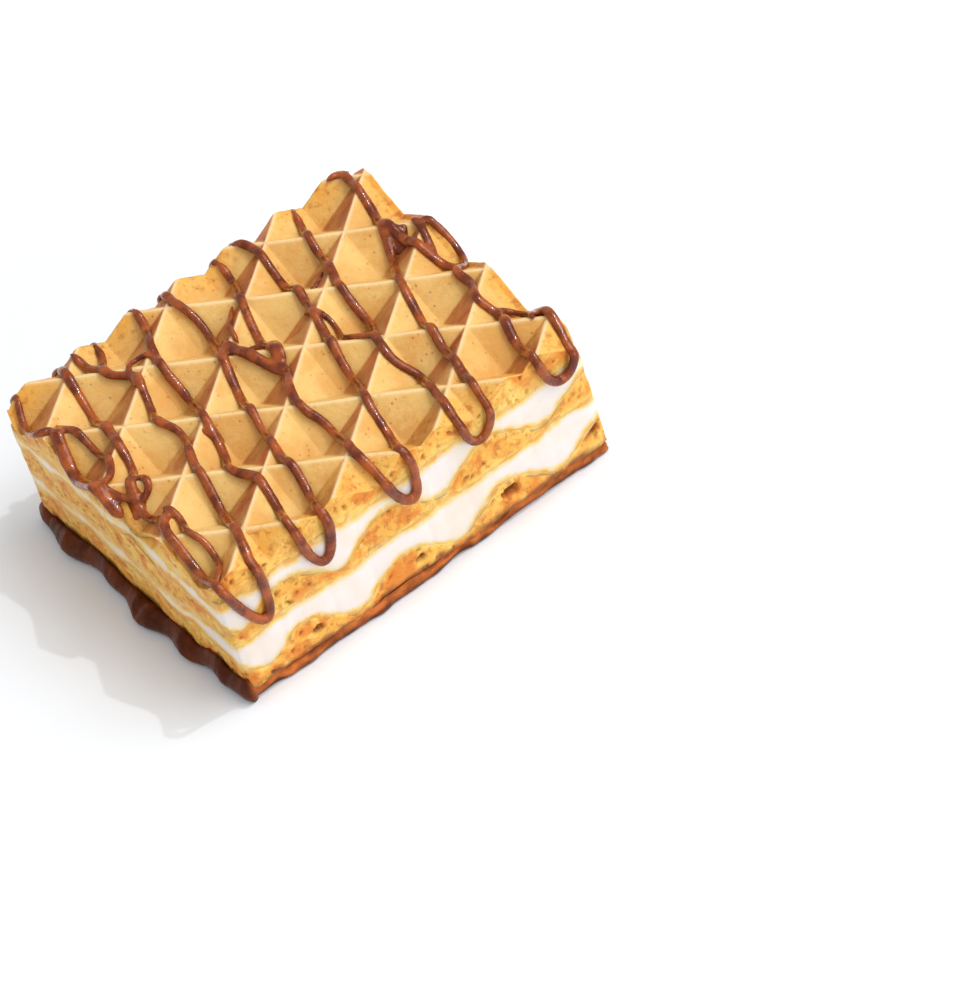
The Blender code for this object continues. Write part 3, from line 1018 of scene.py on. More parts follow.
@dataclass(frozen=True)
class CreamLayer:
    """Cream that fills the pockets of the sheet under it and swells a little between the cut edges."""

    name: str
    node: str
    below: Waffle
    above: Waffle
    seed: int
    outline: Outline = Outline(100)
    flake: Flake | None = None
    wall_rings: int = 16
    swell: float = 0.1
    thin_swell: float = 0.3
    tall_zone: tuple[float, float] = (0.4, 3.0)
    crown_power: float = 0.75
    recess: float = 0.04
    overlap: float = 0.45
    lumps: tuple[Swell, ...] = (Swell(0.14, 3.4, 0, 2), Swell(0.035, 0.9, 3, 2))
    drag: Swell = Swell(0.03, 0.45, 6, 1)
    drag_stretch: float = 0.16
    hole_depth: float = 0.2
    flake_bite: float = 0.9
    fringe: float = 1.05
    fringe_swell: Swell = Swell(0.75, 2.4, 7, 4)
    wiped: float = 0.45
    wiped_zone: tuple[float, float] = (-23.0, -24.2)
    tuck: float = 0.05
    under_rings: tuple[float, ...] = (1.0, 3.0)
    under_drop: float = 0.2

    def push(self, places: np.ndarray, tall: np.ndarray, share: float) -> np.ndarray:
        """Reads how far the cream's outer face stands out of the cut.

        Args:
            places: A ring, in millimetres.
            tall: How tall the cream is at each point, from 0 to 1.
            share: How far up the ring lies, 0 to 1.

        Returns:
            A distance for each point.
        """
        stretch = np.array([self.drag_stretch, self.drag_stretch, 1.0])
        holes = Pores(2.6, 0.3, 0.34, self.seed + 9).depth(places)
        push = self.swell * (self.thin_swell + (1.0 - self.thin_swell) * tall)
        push = push + sum(lump.at(places, self.seed) for lump in self.lumps)
        push = push + self.drag.at(places * stretch, self.seed) - self.hole_depth * np.sqrt(holes)
        push = push * math.sin(math.pi * share) ** self.crown_power - self.recess
        if self.flake:
            push = push - self.flake_bite * self.flake.share(places) * share
            push = push - self.flake.crack_depth * self.flake.crack(places)
        return push

    def wall_ring(
        self, plan: np.ndarray, out: np.ndarray, low: np.ndarray, high: np.ndarray, share: float
    ) -> tuple[np.ndarray, np.ndarray]:
        """Places one ring of the cream's outer face.

        Args:
            plan: The ring seen from above.
            out: The direction out of the layer at each point.
            low: Where the cream starts at each point.
            high: Where it ends.
            share: How far up the ring lies, 0 to 1.

        Returns:
            The places, and how close each is to the wafer.
        """
        places = np.column_stack([plan, low + (high - low) * share])
        push = self.push(places, rise(high - low, *self.tall_zone), share)
        places[:, :2] += out * push[:, None]
        near = np.minimum(share, 1.0 - share) * (high - low) - self.overlap
        near = near + self.fringe_swell.at(places, self.seed)
        near = near - self.wiped * rise(places[:, 0], *self.wiped_zone)
        return places, np.clip(1.0 - near / self.fringe, 0.0, 1.0)

    def build(self) -> bpy.types.Object:
        """Builds the layer.

        Returns:
            The new piece.
        """
        draft = MeshDraft("crumb")
        plain, out = self.outline.perimeter()
        plan = self.outline.inset(plain, 0.0)
        low = self.below.height(*plan.T) - self.overlap
        high = self.above.underside(*plan.T) + self.overlap
        rings = []
        for ring in range(self.wall_rings + 1):
            places, near = self.wall_ring(plan, out, low, high, ring / self.wall_rings)
            rings.append(draft.add(places, crumb=near))
        draft.loft(rings)
        floors = self.outline.rings(plain, INNER_RINGS[1:], lambda x, y: self.below.height(x, y) + self.tuck)
        draft.close(rings[0], floors, turned=True)
        level = self.above.under - self.under_drop
        draft.close(rings[-1], self.outline.rings(plain, self.under_rings, lambda x, y: level))
        return draft.build(self.name)


@dataclass(frozen=True)
class Foot:
    """A place where the base coat has run out: where, half its width, and how far."""

    y: float
    half: float
    reach: float


FEET = (
    Foot(14.0, 3.2, 1.3),
    Foot(5.5, 2.0, 0.5),
    Foot(-1.5, 3.4, 1.9),
    Foot(-9.6, 2.6, 1.2),
    Foot(-16.5, 2.0, 0.5),
)


@dataclass(frozen=True)
class BaseCoat:
    """The milk chocolate under the lowest sheet, with a low rim and run-out feet on the left."""

    name: str = "base_coat"
    node: str = "chocolate_base"
    outline: Outline = Outline(300, corner=0.5, wobble=0.08, crumbs=0.1)
    wall_rings: int = 14
    left_zone: tuple[float, float] = (0.9, 0.1)
    front_top: float = 1.35
    rim_top: float = 2.7
    rim_reach: float = 0.95
    lumps: Swell = Swell(1.0, 3.0, 311, 2)
    front_lumps: float = 0.75
    rim_lumps: float = 0.3
    fine_lumps: Swell = Swell(0.35, 1.1, 315, 2)
    belly: float = 0.6
    belly_from: float = 0.08
    belly_power: float = 0.5
    belly_run: float = 0.45
    run_taper: float = 0.55
    run_power: float = 1.6
    rise_power: float = 1.15
    tuck: float = 0.02
    front_swell: Swell = Swell(0.5, 3.6, 351, 2)
    front_recess: float = 0.08
    ripples: tuple[Swell, ...] = (Swell(0.10, 2.2, 321, 2), Swell(0.05, 0.8, 331, 1))
    # Where the front band is painted lighter: partly thin chocolate over the wafer, partly painted light on
    # the lit front.
    thin_swell: Swell = Swell(0.5, 1.4, 341, 2)
    thin_zone: tuple[float, float] = (0.1, 0.8)
    top_rings: tuple[float, ...] = (0.5, 2.5)
    top_level: float = 1.5

    def build(self) -> bpy.types.Object:
        """Builds the coat.

        Returns:
            The new piece.
        """
        draft = MeshDraft("thin")
        plain, out = self.outline.perimeter()
        plan = self.outline.inset(plain, 0.0)
        flat = np.column_stack([plan, np.zeros(len(plan))])
        left = rise(plan[:, 0], *(self.outline.left + step for step in self.left_zone))
        run = sum(foot.reach * np.exp(-(((plan[:, 1] - foot.y) / foot.half) ** 2)) for foot in FEET)
        reach = left * (self.rim_reach + run)
        front = (1.0 - left) * (self.front_swell.at(flat) - self.front_recess)
        lumps = self.lumps.at(flat)
        tops = self.front_top + self.front_lumps * lumps + self.fine_lumps.at(flat)
        tops = tops + left * (self.rim_top - self.front_top + self.rim_lumps * lumps)
        rings = []
        for ring in range(self.wall_rings + 1):
            share = ring / self.wall_rings
            turn = self.belly_from + (1.0 - 2 * self.belly_from) * share
            belly = math.sin(math.pi * turn) ** self.belly_power
            places = np.column_stack([plan, tops * (1.0 - (1.0 - share) ** self.rise_power)])
            push = self.belly * (belly - 1.0) - self.tuck + front
            taper = 1.0 - self.run_taper * share**self.run_power
            push = push + reach * taper * (1.0 - self.belly_run + self.belly_run * belly)
            push = push + sum(ripple.at(places) for ripple in self.ripples) * belly
            places[:, :2] += out * push[:, None]
            # The front band is painted lighter towards its top, partly for thin chocolate and partly as
            # painted light; the left side keeps the dark body colour as painted shade.
            level = places[:, 2] / tops + self.thin_swell.at(places)
            rings.append(draft.add(places, thin=rise(level, *self.thin_zone) * (1.0 - left)))
        draft.loft(rings)
        draft.cap(rings[0], turned=True)
        draft.close(rings[-1], self.outline.rings(plain, self.top_rings, lambda x, y: self.top_level))
        return draft.build(self.name)


@dataclass(frozen=True)
class Loop:
    """A loop that hangs over an edge: where it leaves and returns, and its lowest point."""

    x_from: float
    x_to: float
    x_tip: float
    z_tip: float
    roundness: float = 0.95


@dataclass(frozen=True)
class Line:
    """A strand from the back to the front, the loop it hangs there, and the strand that returns."""

    down: tuple
    loop: Loop
    back: tuple


@dataclass(frozen=True)
class Short:
    """A strand that stays on top, and how thick it is next to a long one."""

    points: tuple
    scale: float = 0.84


@dataclass(frozen=True)
class Pool:
    """A flat drop of chocolate gathered in a pocket: place, half sizes and turn."""

    x: float
    y: float
    wide: float
    deep: float
    turn: float = 0.7


LINES = (
    Line(
        down=((-16.7, 21.0), (-17.3, 16.5), (-18.0, 12.0), (-19.0, 5.5), (-20.0, 1.0), (-22.5, -3.4),
              (-22.5, -8.8), (-23.4, -11.8), (-23.4, -15.5), (-23.7, -20.4)),
        loop=Loop(-23.8, -19.3, -20.0, 9.7, 1.5),
        back=((-19.0, -20.4), (-17.6, -15.5), (-16.2, -9.2), (-15.1, -4.2), (-13.3, 1.1), (-14.2, 4.2),
              (-12.6, 9.3), (-11.9, 12.2), (-14.0, 15.4), (-12.1, 19.5), (-11.8, 21.0)),
    ),
    Line(
        down=((-6.2, 21.0), (-6.5, 18.5), (-8.2, 14.2), (-9.1, 10.5), (-9.1, 6.8), (-10.4, 0.5),
              (-11.4, -3.8), (-13.2, -8.7), (-11.9, -11.7), (-12.5, -16.5), (-13.7, -20.4)),
        loop=Loop(-13.7, -9.9, -11.5, 11.8),
        back=((-9.9, -20.4), (-8.4, -15.0), (-8.0, -10.5), (-6.6, -4.0), (-5.2, 2.0), (-3.7, 6.6),
              (-1.9, 13.5), (-2.4, 17.5), (-2.4, 21.0)),
    ),
    Line(
        down=((5.0, 21.0), (4.9, 18.5), (2.9, 12.5), (1.3, 7.5), (0.6, 2.5), (-0.2, -0.8), (-1.6, -3.6),
              (-2.3, -7.0), (-1.5, -10.5), (-2.6, -17.5), (-2.4, -20.4)),
        loop=Loop(-2.4, 1.2, 0.2, 11.9),
        back=((1.0, -20.4), (2.2, -17.0), (2.9, -12.5), (4.6, -6.5), (5.3, -2.8), (6.9, 3.5), (8.2, 9.5),
              (8.4, 14.0), (8.7, 18.5), (7.6, 21.0)),
    ),
    Line(
        down=((15.7, 21.0), (15.2, 19.2), (13.8, 14.5), (13.2, 11.0), (11.5, 5.0), (11.2, 0.0), (9.4, -4.6),
              (8.9, -8.2), (10.2, -10.9), (9.0, -15.0), (8.2, -20.4)),
        loop=Loop(8.1, 11.9, 9.9, 13.3),
        back=((11.9, -20.4), (12.8, -15.5), (14.1, -9.0), (15.9, -1.4), (17.6, 3.8), (20.1, 9.0),
              (21.6, 13.5), (22.3, 18.5), (22.4, 21.0)),
    ),
    Line(
        down=((21.4, 12.4), (21.0, 8.0), (21.3, 4.0), (22.2, 1.0), (22.9, -1.6), (21.4, -3.3), (21.6, -5.5),
              (20.4, -8.6), (21.2, -11.4), (19.8, -15.5), (19.0, -20.4)),
        loop=Loop(18.9, 23.3, 21.2, 13.7),
        back=((23.5, -20.4), (24.2, -16.6), (23.7, -13.4)),
    ),
)

SHORTS = (
    Short(((-22.4, 21.0), (-23.3, 19.6), (-24.0, 17.3), (-24.4, 13.2), (-22.4, 12.6))),
    Short(((-22.6, 12.3), (-23.6, 9.8), (-24.3, 7.0), (-24.7, 2.5), (-24.7, -1.0), (-24.5, -3.4)), 1.4),
    Short(
        ((-22.2, 13.1), (-21.3, 9.5), (-21.1, 6.0), (-21.3, 3.2), (-22.6, 1.0), (-24.1, 0.2), (-22.8, -3.0)),
    ),
    Short(((-20.4, -1.2), (-20.4, -3.4), (-22.2, -4.0))),
    Short(((-21.4, -7.6), (-20.9, -10.0), (-21.7, -13.2), (-21.1, -15.2), (-21.5, -18.0), (-23.2, -20.6))),
    Short(((-14.9, 20.8), (-14.5, 18.4), (-13.4, 14.4))),
    Short(((-12.9, 10.6), (-11.5, 14.0), (-9.8, 14.3), (-8.6, 12.4)), 0.6),
    Short(((-2.6, 8.4), (-1.9, 5.4), (-0.9, 2.6), (0.3, -0.4)), 1.25),
    Short(((1.9, 12.9), (-0.2, 10.4), (-1.2, 7.2)), 0.55),
    Short(((-1.0, 6.4), (0.6, 5.2), (1.9, 4.8), (0.7, 0.8)), 0.8),
    Short(((6.4, 5.6), (8.0, 2.6), (7.6, -1.6), (9.8, -5.4)), 0.6),
    Short(((23.4, 8.2), (23.1, 5.6), (22.0, 2.0))),
    Short(((24.1, 6.9), (24.9, 3.9), (24.5, 0.6), (22.6, -2.4))),
    Short(((20.8, -10.4), (22.8, -10.9), (23.5, -13.8), (22.4, -16.4))),
    Short(((20.4, 20.7), (23.4, 20.6))),
)

BACK_LOOPS = (
    Loop(-22.4, -16.7, -19.8, 12.6),
    Loop(-11.8, -6.2, -9.0, 11.4),
    Loop(-2.4, 5.0, 1.2, 12.0),
    Loop(7.6, 15.7, 12.2, 10.8),
)

POOLS = (
    Pool(-22.5, -3.3, 1.3, 0.9),
    Pool(-22.2, -8.8, 1.2, 0.9),
    Pool(-10.9, -1.6, 1.2, 0.8, 1.9),
    Pool(-2.4, 8.7, 1.0, 0.7),
    Pool(10.8, 9.6, 1.4, 0.9),
    Pool(20.9, 7.4, 1.4, 0.9),
)


@dataclass(frozen=True)
class Drizzle:
    """The chocolate drizzle: strands that lie on the relief, loops at the edges and pools in the pockets."""

    name: str = "chocolate_drizzle"
    node: str = "wafer_top"
    half_width: float = 0.62
    half_height: float = 0.46
    thin_height: float = 0.4
    on_top: float = 0.98
    less_in_pocket: float = 0.14
    swell: Swell = Swell(0.2, 3.6, 0)
    fine_swell: Swell = Swell(0.07, 0.9, 7, 1)
    tip: float = 0.35
    tip_length: float = 0.9
    sides: int = 12
    station: float = 0.4
    rest_x: tuple[float, float] = (-24.2, 24.2)
    rest_y: tuple[float, float] = (-21.0, 21.2)
    beside: tuple[tuple[float, float], ...] = ((0, 0), (0, 0.45), (0, -0.45), (0.4, 0), (-0.4, 0))
    on_highest: float = 0.6
    sink: float = 0.14
    over_ridge: float = 0.25
    ridge_share: float = 0.14
    bridged: int = 4
    bridging: float = 0.55
    side_x: float = 24.5
    droop_right: float = 0.9
    droop_left: float = 0.5
    tilt_x: tuple[float, float] = (-24.0, 24.0)
    tilt_y: tuple[float, float] = (-20.9, 21.1)
    tilt_step: float = 0.3
    tilt: float = 0.7
    hang_from: float = 20.6
    hang_over: float = 1.4
    front_edge: float = -21.2
    back_edge: float = 21.4
    back_scale: float = 1.06
    loop_stations: int = 36
    loop_inside: float = 0.3
    loop_lift: float = 0.15
    loop_start: float = -0.5
    loop_stand_off: float = 0.72
    stand_zone: tuple[float, float] = (-0.1, 0.9)
    loop_cling: float = 0.34
    cling_zone: tuple[float, float] = (1.2, 4.5)
    pool_sides: int = 40
    pool_swell: Swell = Swell(0.25, 2.0, 0, 1)
    pool_swell_reach: float = 3.0
    pool_rings: tuple[tuple[float, float], ...] = (
        (0.1, -0.6),
        (0.6, -0.6),
        (0.95, -0.4),
        (1.08, -0.1),
        (1.0, 0.16),
        (0.8, 0.32),
        (0.5, 0.4),
        (0.25, 0.42),
        (0.1, 0.42),
    )
    voxel: float = 0.19
    smoothing: int = 5
    smoothing_share: float = 0.5
    seed: int = 11
    seed_step: int = 20

    def curve(self, points: tuple) -> np.ndarray:
        """Runs a smooth curve through the given places.

        Args:
            points: Places seen from above.

        Returns:
            Places one station apart or less.
        """
        ends = [np.array(p, float) for p in (points[0], *points, points[-1])]
        found = []
        for k in range(1, len(ends) - 2):
            p0, p1, p2, p3 = ends[k - 1 : k + 3]
            parts = max(1, round(float(np.linalg.norm(p2 - p1)) / self.station))
            for part in range(parts):
                t = part / parts
                bend = (2 * p0 - 5 * p1 + 4 * p2 - p3) * t**2
                twist = (3 * p1 - p0 - 3 * p2 + p3) * t**3
                found.append(0.5 * (2 * p1 + (p2 - p0) * t + bend + twist))
        found.append(ends[-1])
        return np.array(found)

    def draped(self, points: tuple) -> np.ndarray:
        """Lays a strand over the relief of the top sheet.

        Args:
            points: Places seen from above.

        Returns:
            The middle line of the strand.
        """
        plan = self.curve(points)
        x, y = np.clip(plan[:, 0], *self.rest_x), np.clip(plan[:, 1], *self.rest_y)
        heights = np.array([TOP.height(x + dx, y + dy) for dx, dy in self.beside])
        z = self.on_highest * heights.max(axis=0) + (1.0 - self.on_highest) * heights.mean(axis=0) + self.sink
        z = z + self.over_ridge * np.exp(-TOP.pocket_share(x, y) / self.ridge_share)
        span = 2 * self.bridged + 1
        level = np.convolve(np.pad(z, self.bridged, mode="edge"), np.full(span, 1 / span), mode="valid")
        z = z + self.bridging * np.clip(level - z, 0.0, None)
        z = z - self.droop_right * np.clip(plan[:, 0] - self.side_x, 0, None)
        z = z - self.droop_left * np.clip(-self.side_x - plan[:, 0], 0, None)
        return np.column_stack([plan, z])

    def hanging(self, loop: Loop, side: int) -> np.ndarray:
        """Hangs a loop over an edge.

        Args:
            loop: The loop.
            side: -1 for the front edge and 1 for the back.

        Returns:
            The middle line of the loop.
        """
        edge = self.front_edge if side < 0 else self.back_edge
        angle = np.linspace(0.0, math.pi, self.loop_stations)
        middle = (loop.x_from + loop.x_to) / 2
        drop = np.sin(angle) ** loop.roundness
        x = middle - (loop.x_to - loop.x_from) / 2 * np.cos(angle) + (loop.x_tip - middle) * drop
        inside = np.full(2, edge - side * self.loop_inside)
        rim = TOP.height(np.array([loop.x_from, loop.x_to]), inside) + self.sink + self.loop_lift
        start = rim[0] + (rim[1] - rim[0]) * angle / math.pi
        z = start + (loop.z_tip - start) * drop
        out = self.loop_start + (self.loop_stand_off - self.loop_start) * rise(start - z, *self.stand_zone)
        out = out - self.loop_cling * rise(start - z, *self.cling_zone)
        return np.column_stack([x, edge + side * out, z])

    def eased(self, path: np.ndarray, reach: int = 2) -> np.ndarray:
        """Rounds the kinks of a path, and keeps its ends.

        Args:
            path: The path.
            reach: How many times neighbouring points are averaged.

        Returns:
            The rounded path.
        """
        for _ in range(reach):
            path[1:-1] = 0.25 * path[:-2] + 0.5 * path[1:-1] + 0.25 * path[2:]
        return path

    def tube(self, draft: MeshDraft, path: np.ndarray, seed: int, scale: float = 1.0) -> None:
        """Adds a strand of uneven thickness along a path, its flat side on what it lies on.

        Args:
            draft: The drizzle being made.
            path: The middle line.
            seed: Which unevenness it has.
            scale: Its thickness next to a plain strand.
        """
        path = self.eased(path)
        count, step = len(path), self.tilt_step
        along = np.gradient(path, axis=0)
        x, y = np.clip(path[:, 0], *self.tilt_x), np.clip(path[:, 1], *self.tilt_y)
        slope_x = (TOP.height(x + step, y) - TOP.height(x - step, y)) / (2 * step)
        slope_y = (TOP.height(x, y + step) - TOP.height(x, y - step)) / (2 * step)
        up = np.stack([-self.tilt * slope_x, -self.tilt * slope_y, np.ones(count)], axis=1)
        hang = np.clip((np.abs(path[:, 1]) - self.hang_from) / self.hang_over, 0.0, 1.0)[:, None]
        outward = np.stack([np.zeros(count), np.sign(path[:, 1]), np.zeros(count)], axis=1)
        up = self.eased(up * (1.0 - hang) + outward * hang, 3)
        side = np.cross(along, up)
        side /= np.linalg.norm(side, axis=1, keepdims=True)
        up = np.cross(side, along)
        up /= np.linalg.norm(up, axis=1, keepdims=True)
        distance = np.concatenate([[0.0], np.cumsum(np.linalg.norm(np.diff(path, axis=0), axis=1))])
        line = np.stack([distance, np.full(count, float(seed)), np.zeros(count)], axis=1)
        swelling = 1.0 + self.swell.at(line, seed) + self.fine_swell.at(line, seed)
        lying = self.on_top - self.less_in_pocket * TOP.pocket_share(x, y)
        swelling = swelling * (hang[:, 0] + (1.0 - hang[:, 0]) * lying)
        ends = np.minimum(distance, distance[-1] - distance)
        taper = np.clip(self.tip + (1.0 - self.tip) * ends / self.tip_length, 0.0, 1.0)
        wide = self.half_width * scale * swelling * taper
        high = self.half_height * (self.thin_height + (1.0 - self.thin_height) * scale)
        high = high * swelling**0.5 * taper
        rings = []
        for corner in range(self.sides):
            angle = 2 * math.pi * corner / self.sides
            across, lift = side * (wide * math.cos(angle))[:, None], up * (high * math.sin(angle))[:, None]
            rings.append(path + across + lift)
        numbers = draft.add(np.stack(rings, axis=1).reshape(-1, 3)).reshape(count, self.sides)
        draft.loft(numbers)
        draft.cap(numbers[0], turned=True)
        draft.cap(numbers[-1])

    def pool(self, draft: MeshDraft, pool: Pool, seed: int) -> None:
        """Adds a drop gathered in a pocket.

        Args:
            draft: The drizzle being made.
            pool: The drop.
            seed: Which unevenness it has.
        """
        c, s = math.cos(pool.turn), math.sin(pool.turn)
        angle = np.linspace(0.0, 2 * math.pi, self.pool_sides, endpoint=False)
        around = np.stack([np.cos(angle), np.sin(angle), np.zeros(self.pool_sides)], axis=1)
        uneven = 1.0 + self.pool_swell.at(around * self.pool_swell_reach, seed)
        rings = []
        for reach, lift in self.pool_rings:
            px = pool.wide * reach * np.cos(angle) * uneven
            py = pool.deep * reach * np.sin(angle) * uneven
            x, y = pool.x + c * px - s * py, pool.y + s * px + c * py
            rings.append(draft.add(np.column_stack([x, y, TOP.height(x, y) + lift])))
        draft.loft(rings)
        draft.cap(rings[0], turned=True)
        draft.cap(rings[-1])

    def build(self) -> bpy.types.Object:
        """Builds the drizzle as one fused body.

        Returns:
            The new piece.
        """
        draft = MeshDraft()
        for k, line in enumerate(LINES):
            path = (self.draped(line.down), self.hanging(line.loop, -1), self.draped(line.back))
            self.tube(draft, np.concatenate(path), self.seed + k)
        first = self.seed + self.seed_step
        for k, short in enumerate(SHORTS):
            self.tube(draft, self.draped(short.points), first + k, short.scale)
        first += self.seed_step
        for k, loop in enumerate(BACK_LOOPS):
            self.tube(draft, self.hanging(loop, 1), first + k, self.back_scale)
        first += self.seed_step
        for k, pool in enumerate(POOLS):
            self.pool(draft, pool, first + k)
        piece = draft.build(self.name)
        self.fuse(piece)
        return piece

    def fuse(self, piece: bpy.types.Object) -> None:
        """Melts the strands and pools into one surface.

        Args:
            piece: The drizzle.
        """
        melt = piece.modifiers.new("melt", "REMESH")
        melt.mode = "VOXEL"
        melt.voxel_size = self.voxel * MM
        flow = piece.modifiers.new("flow", "SMOOTH")
        flow.factor = self.smoothing_share
        flow.iterations = self.smoothing
        graph = bpy.context.evaluated_depsgraph_get()
        done = bpy.data.meshes.new_from_object(piece.evaluated_get(graph))
        piece.modifiers.clear()
        piece.data = done
        smooth_shading(piece)


class Effect(Enum):
    """The surface effects that finishes share, each a node group."""

    MOTTLE = "baked_mottle"
    SPECKS = "fine_specks"
    FLOW = "set_flow"


class EffectGroup:
    """A node group being put together."""

    def __init__(self, effect: Effect) -> None:
        """Starts an empty group.

        Args:
            effect: The effect that it gives.
        """
        self.tree = bpy.data.node_groups.new(effect.value, "ShaderNodeTree")
        self.ins = self.tree.nodes.new("NodeGroupInput")
        self.outs = self.tree.nodes.new("NodeGroupOutput")

    def socket(self, name: str, kind: str, value: object = None, out: bool = False) -> None:
        """Adds a named input or output.

        Args:
            name: Its name.
            kind: Float, Color or Vector.
            value: What an input holds until it is set.
            out: Whether it is an output.
        """
        way = "OUTPUT" if out else "INPUT"
        made = self.tree.interface.new_socket(name=name, in_out=way, socket_type=f"NodeSocket{kind}")
        if value is not None:
            made.default_value = value

    def node(self, kind: str, settings: dict | None = None, **links: object) -> bpy.types.Node:
        """Places a node; see place_node."""
        return place_node(self.tree, kind, settings, **links)

    def give(self, name: str, source: bpy.types.NodeSocket) -> None:
        """Links a value to a named output."""
        self.tree.links.new(source, self.outs.inputs[name])


def place_node(
    tree: bpy.types.NodeTree, kind: str, settings: dict | None = None, **links: object
) -> bpy.types.Node:
    """Places a node and fills its sockets.

    Args:
        tree: Where it goes.
        kind: The node's type, without its ShaderNode prefix.
        settings: Properties to set on the node.
        **links: A socket to link, or a value to set, by input name. An underscore stands for a space,
            and a name that starts with i_ gives the input's number.

    Returns:
        The node.
    """
    node = tree.nodes.new(f"ShaderNode{kind}")
    for name, value in (settings or {}).items():
        setattr(node, name, value)
    for name, value in links.items():
        key = int(name[2:]) if name.startswith("i_") else name.replace("_", " ")
        if isinstance(value, bpy.types.NodeSocket):
            tree.links.new(value, node.inputs[key])
        else:
            node.inputs[key].default_value = value
    return node


def mottle_group() -> bpy.types.NodeTree:
    """Makes the blotches of a baked surface: a mask from 0 to 1, sharper or softer.

    Returns:
        The group.
    """
    group = EffectGroup(Effect.MOTTLE)
    group.socket("Scale", "Float", 600.0)
    group.socket("Low", "Float", 0.4)
    group.socket("High", "Float", 0.6)
    group.socket("Mask", "Float", out=True)
    place = group.node("TexCoord")
    noise = group.node(
        "TexNoise",
        Vector=place.outputs["Object"],
        Scale=group.ins.outputs["Scale"],
        Detail=5.0,
        Roughness=0.62,
        Distortion=0.35,
    )
    ramp = group.node(
        "MapRange",
        {"interpolation_type": "SMOOTHSTEP"},
        Value=noise.outputs["Fac"],
        From_Min=group.ins.outputs["Low"],
        From_Max=group.ins.outputs["High"],
    )
    group.give("Mask", ramp.outputs["Result"])
    return group.tree


def specks_group() -> bpy.types.NodeTree:
    """Makes small round specks, each with its own chance to be there.

    Returns:
        The group, with a mask that is 1 in a speck.
    """
    group = EffectGroup(Effect.SPECKS)
    group.socket("Scale", "Float", 900.0)
    group.socket("Size", "Float", 0.22)
    group.socket("Share", "Float", 0.3)
    group.socket("Mask", "Float", out=True)
    place = group.node("TexCoord")
    cells = group.node(
        "TexVoronoi", {"feature": "F1"}, Vector=place.outputs["Object"], Scale=group.ins.outputs["Scale"]
    )
    chance = group.node("SeparateColor", Color=cells.outputs["Color"])
    there = group.node(
        "Math", {"operation": "LESS_THAN"}, i_0=chance.outputs["Red"], i_1=group.ins.outputs["Share"]
    )
    near = group.node(
        "MapRange",
        {"interpolation_type": "SMOOTHSTEP"},
        Value=cells.outputs["Distance"],
        From_Min=group.ins.outputs["Size"],
        From_Max=0.04,
    )
    both = group.node("Math", {"operation": "MULTIPLY"}, i_0=there.outputs[0], i_1=near.outputs["Result"])
    group.give("Mask", both.outputs[0])
    return group.tree


def flow_group() -> bpy.types.NodeTree:
    """Makes the faint swells of something that was poured and has set.

    Returns:
        The group, with a height and a roughness share.
    """
    group = EffectGroup(Effect.FLOW)
    group.socket("Scale", "Float", 400.0)
    group.socket("Height", "Float", out=True)
    group.socket("Share", "Float", out=True)
    place = group.node("TexCoord")
    swell = group.node(
        "TexNoise",
        Vector=place.outputs["Object"],
        Scale=group.ins.outputs["Scale"],
        Detail=2.0,
        Roughness=0.45,
    )
    fine = group.node("Math", {"operation": "MULTIPLY"}, i_0=group.ins.outputs["Scale"], i_1=3.7)
    grain = group.node(
        "TexNoise", Vector=place.outputs["Object"], Scale=fine.outputs[0], Detail=3.0, Roughness=0.6
    )
    group.give("Height", swell.outputs["Fac"])
    group.give("Share", grain.outputs["Fac"])
    return group.tree


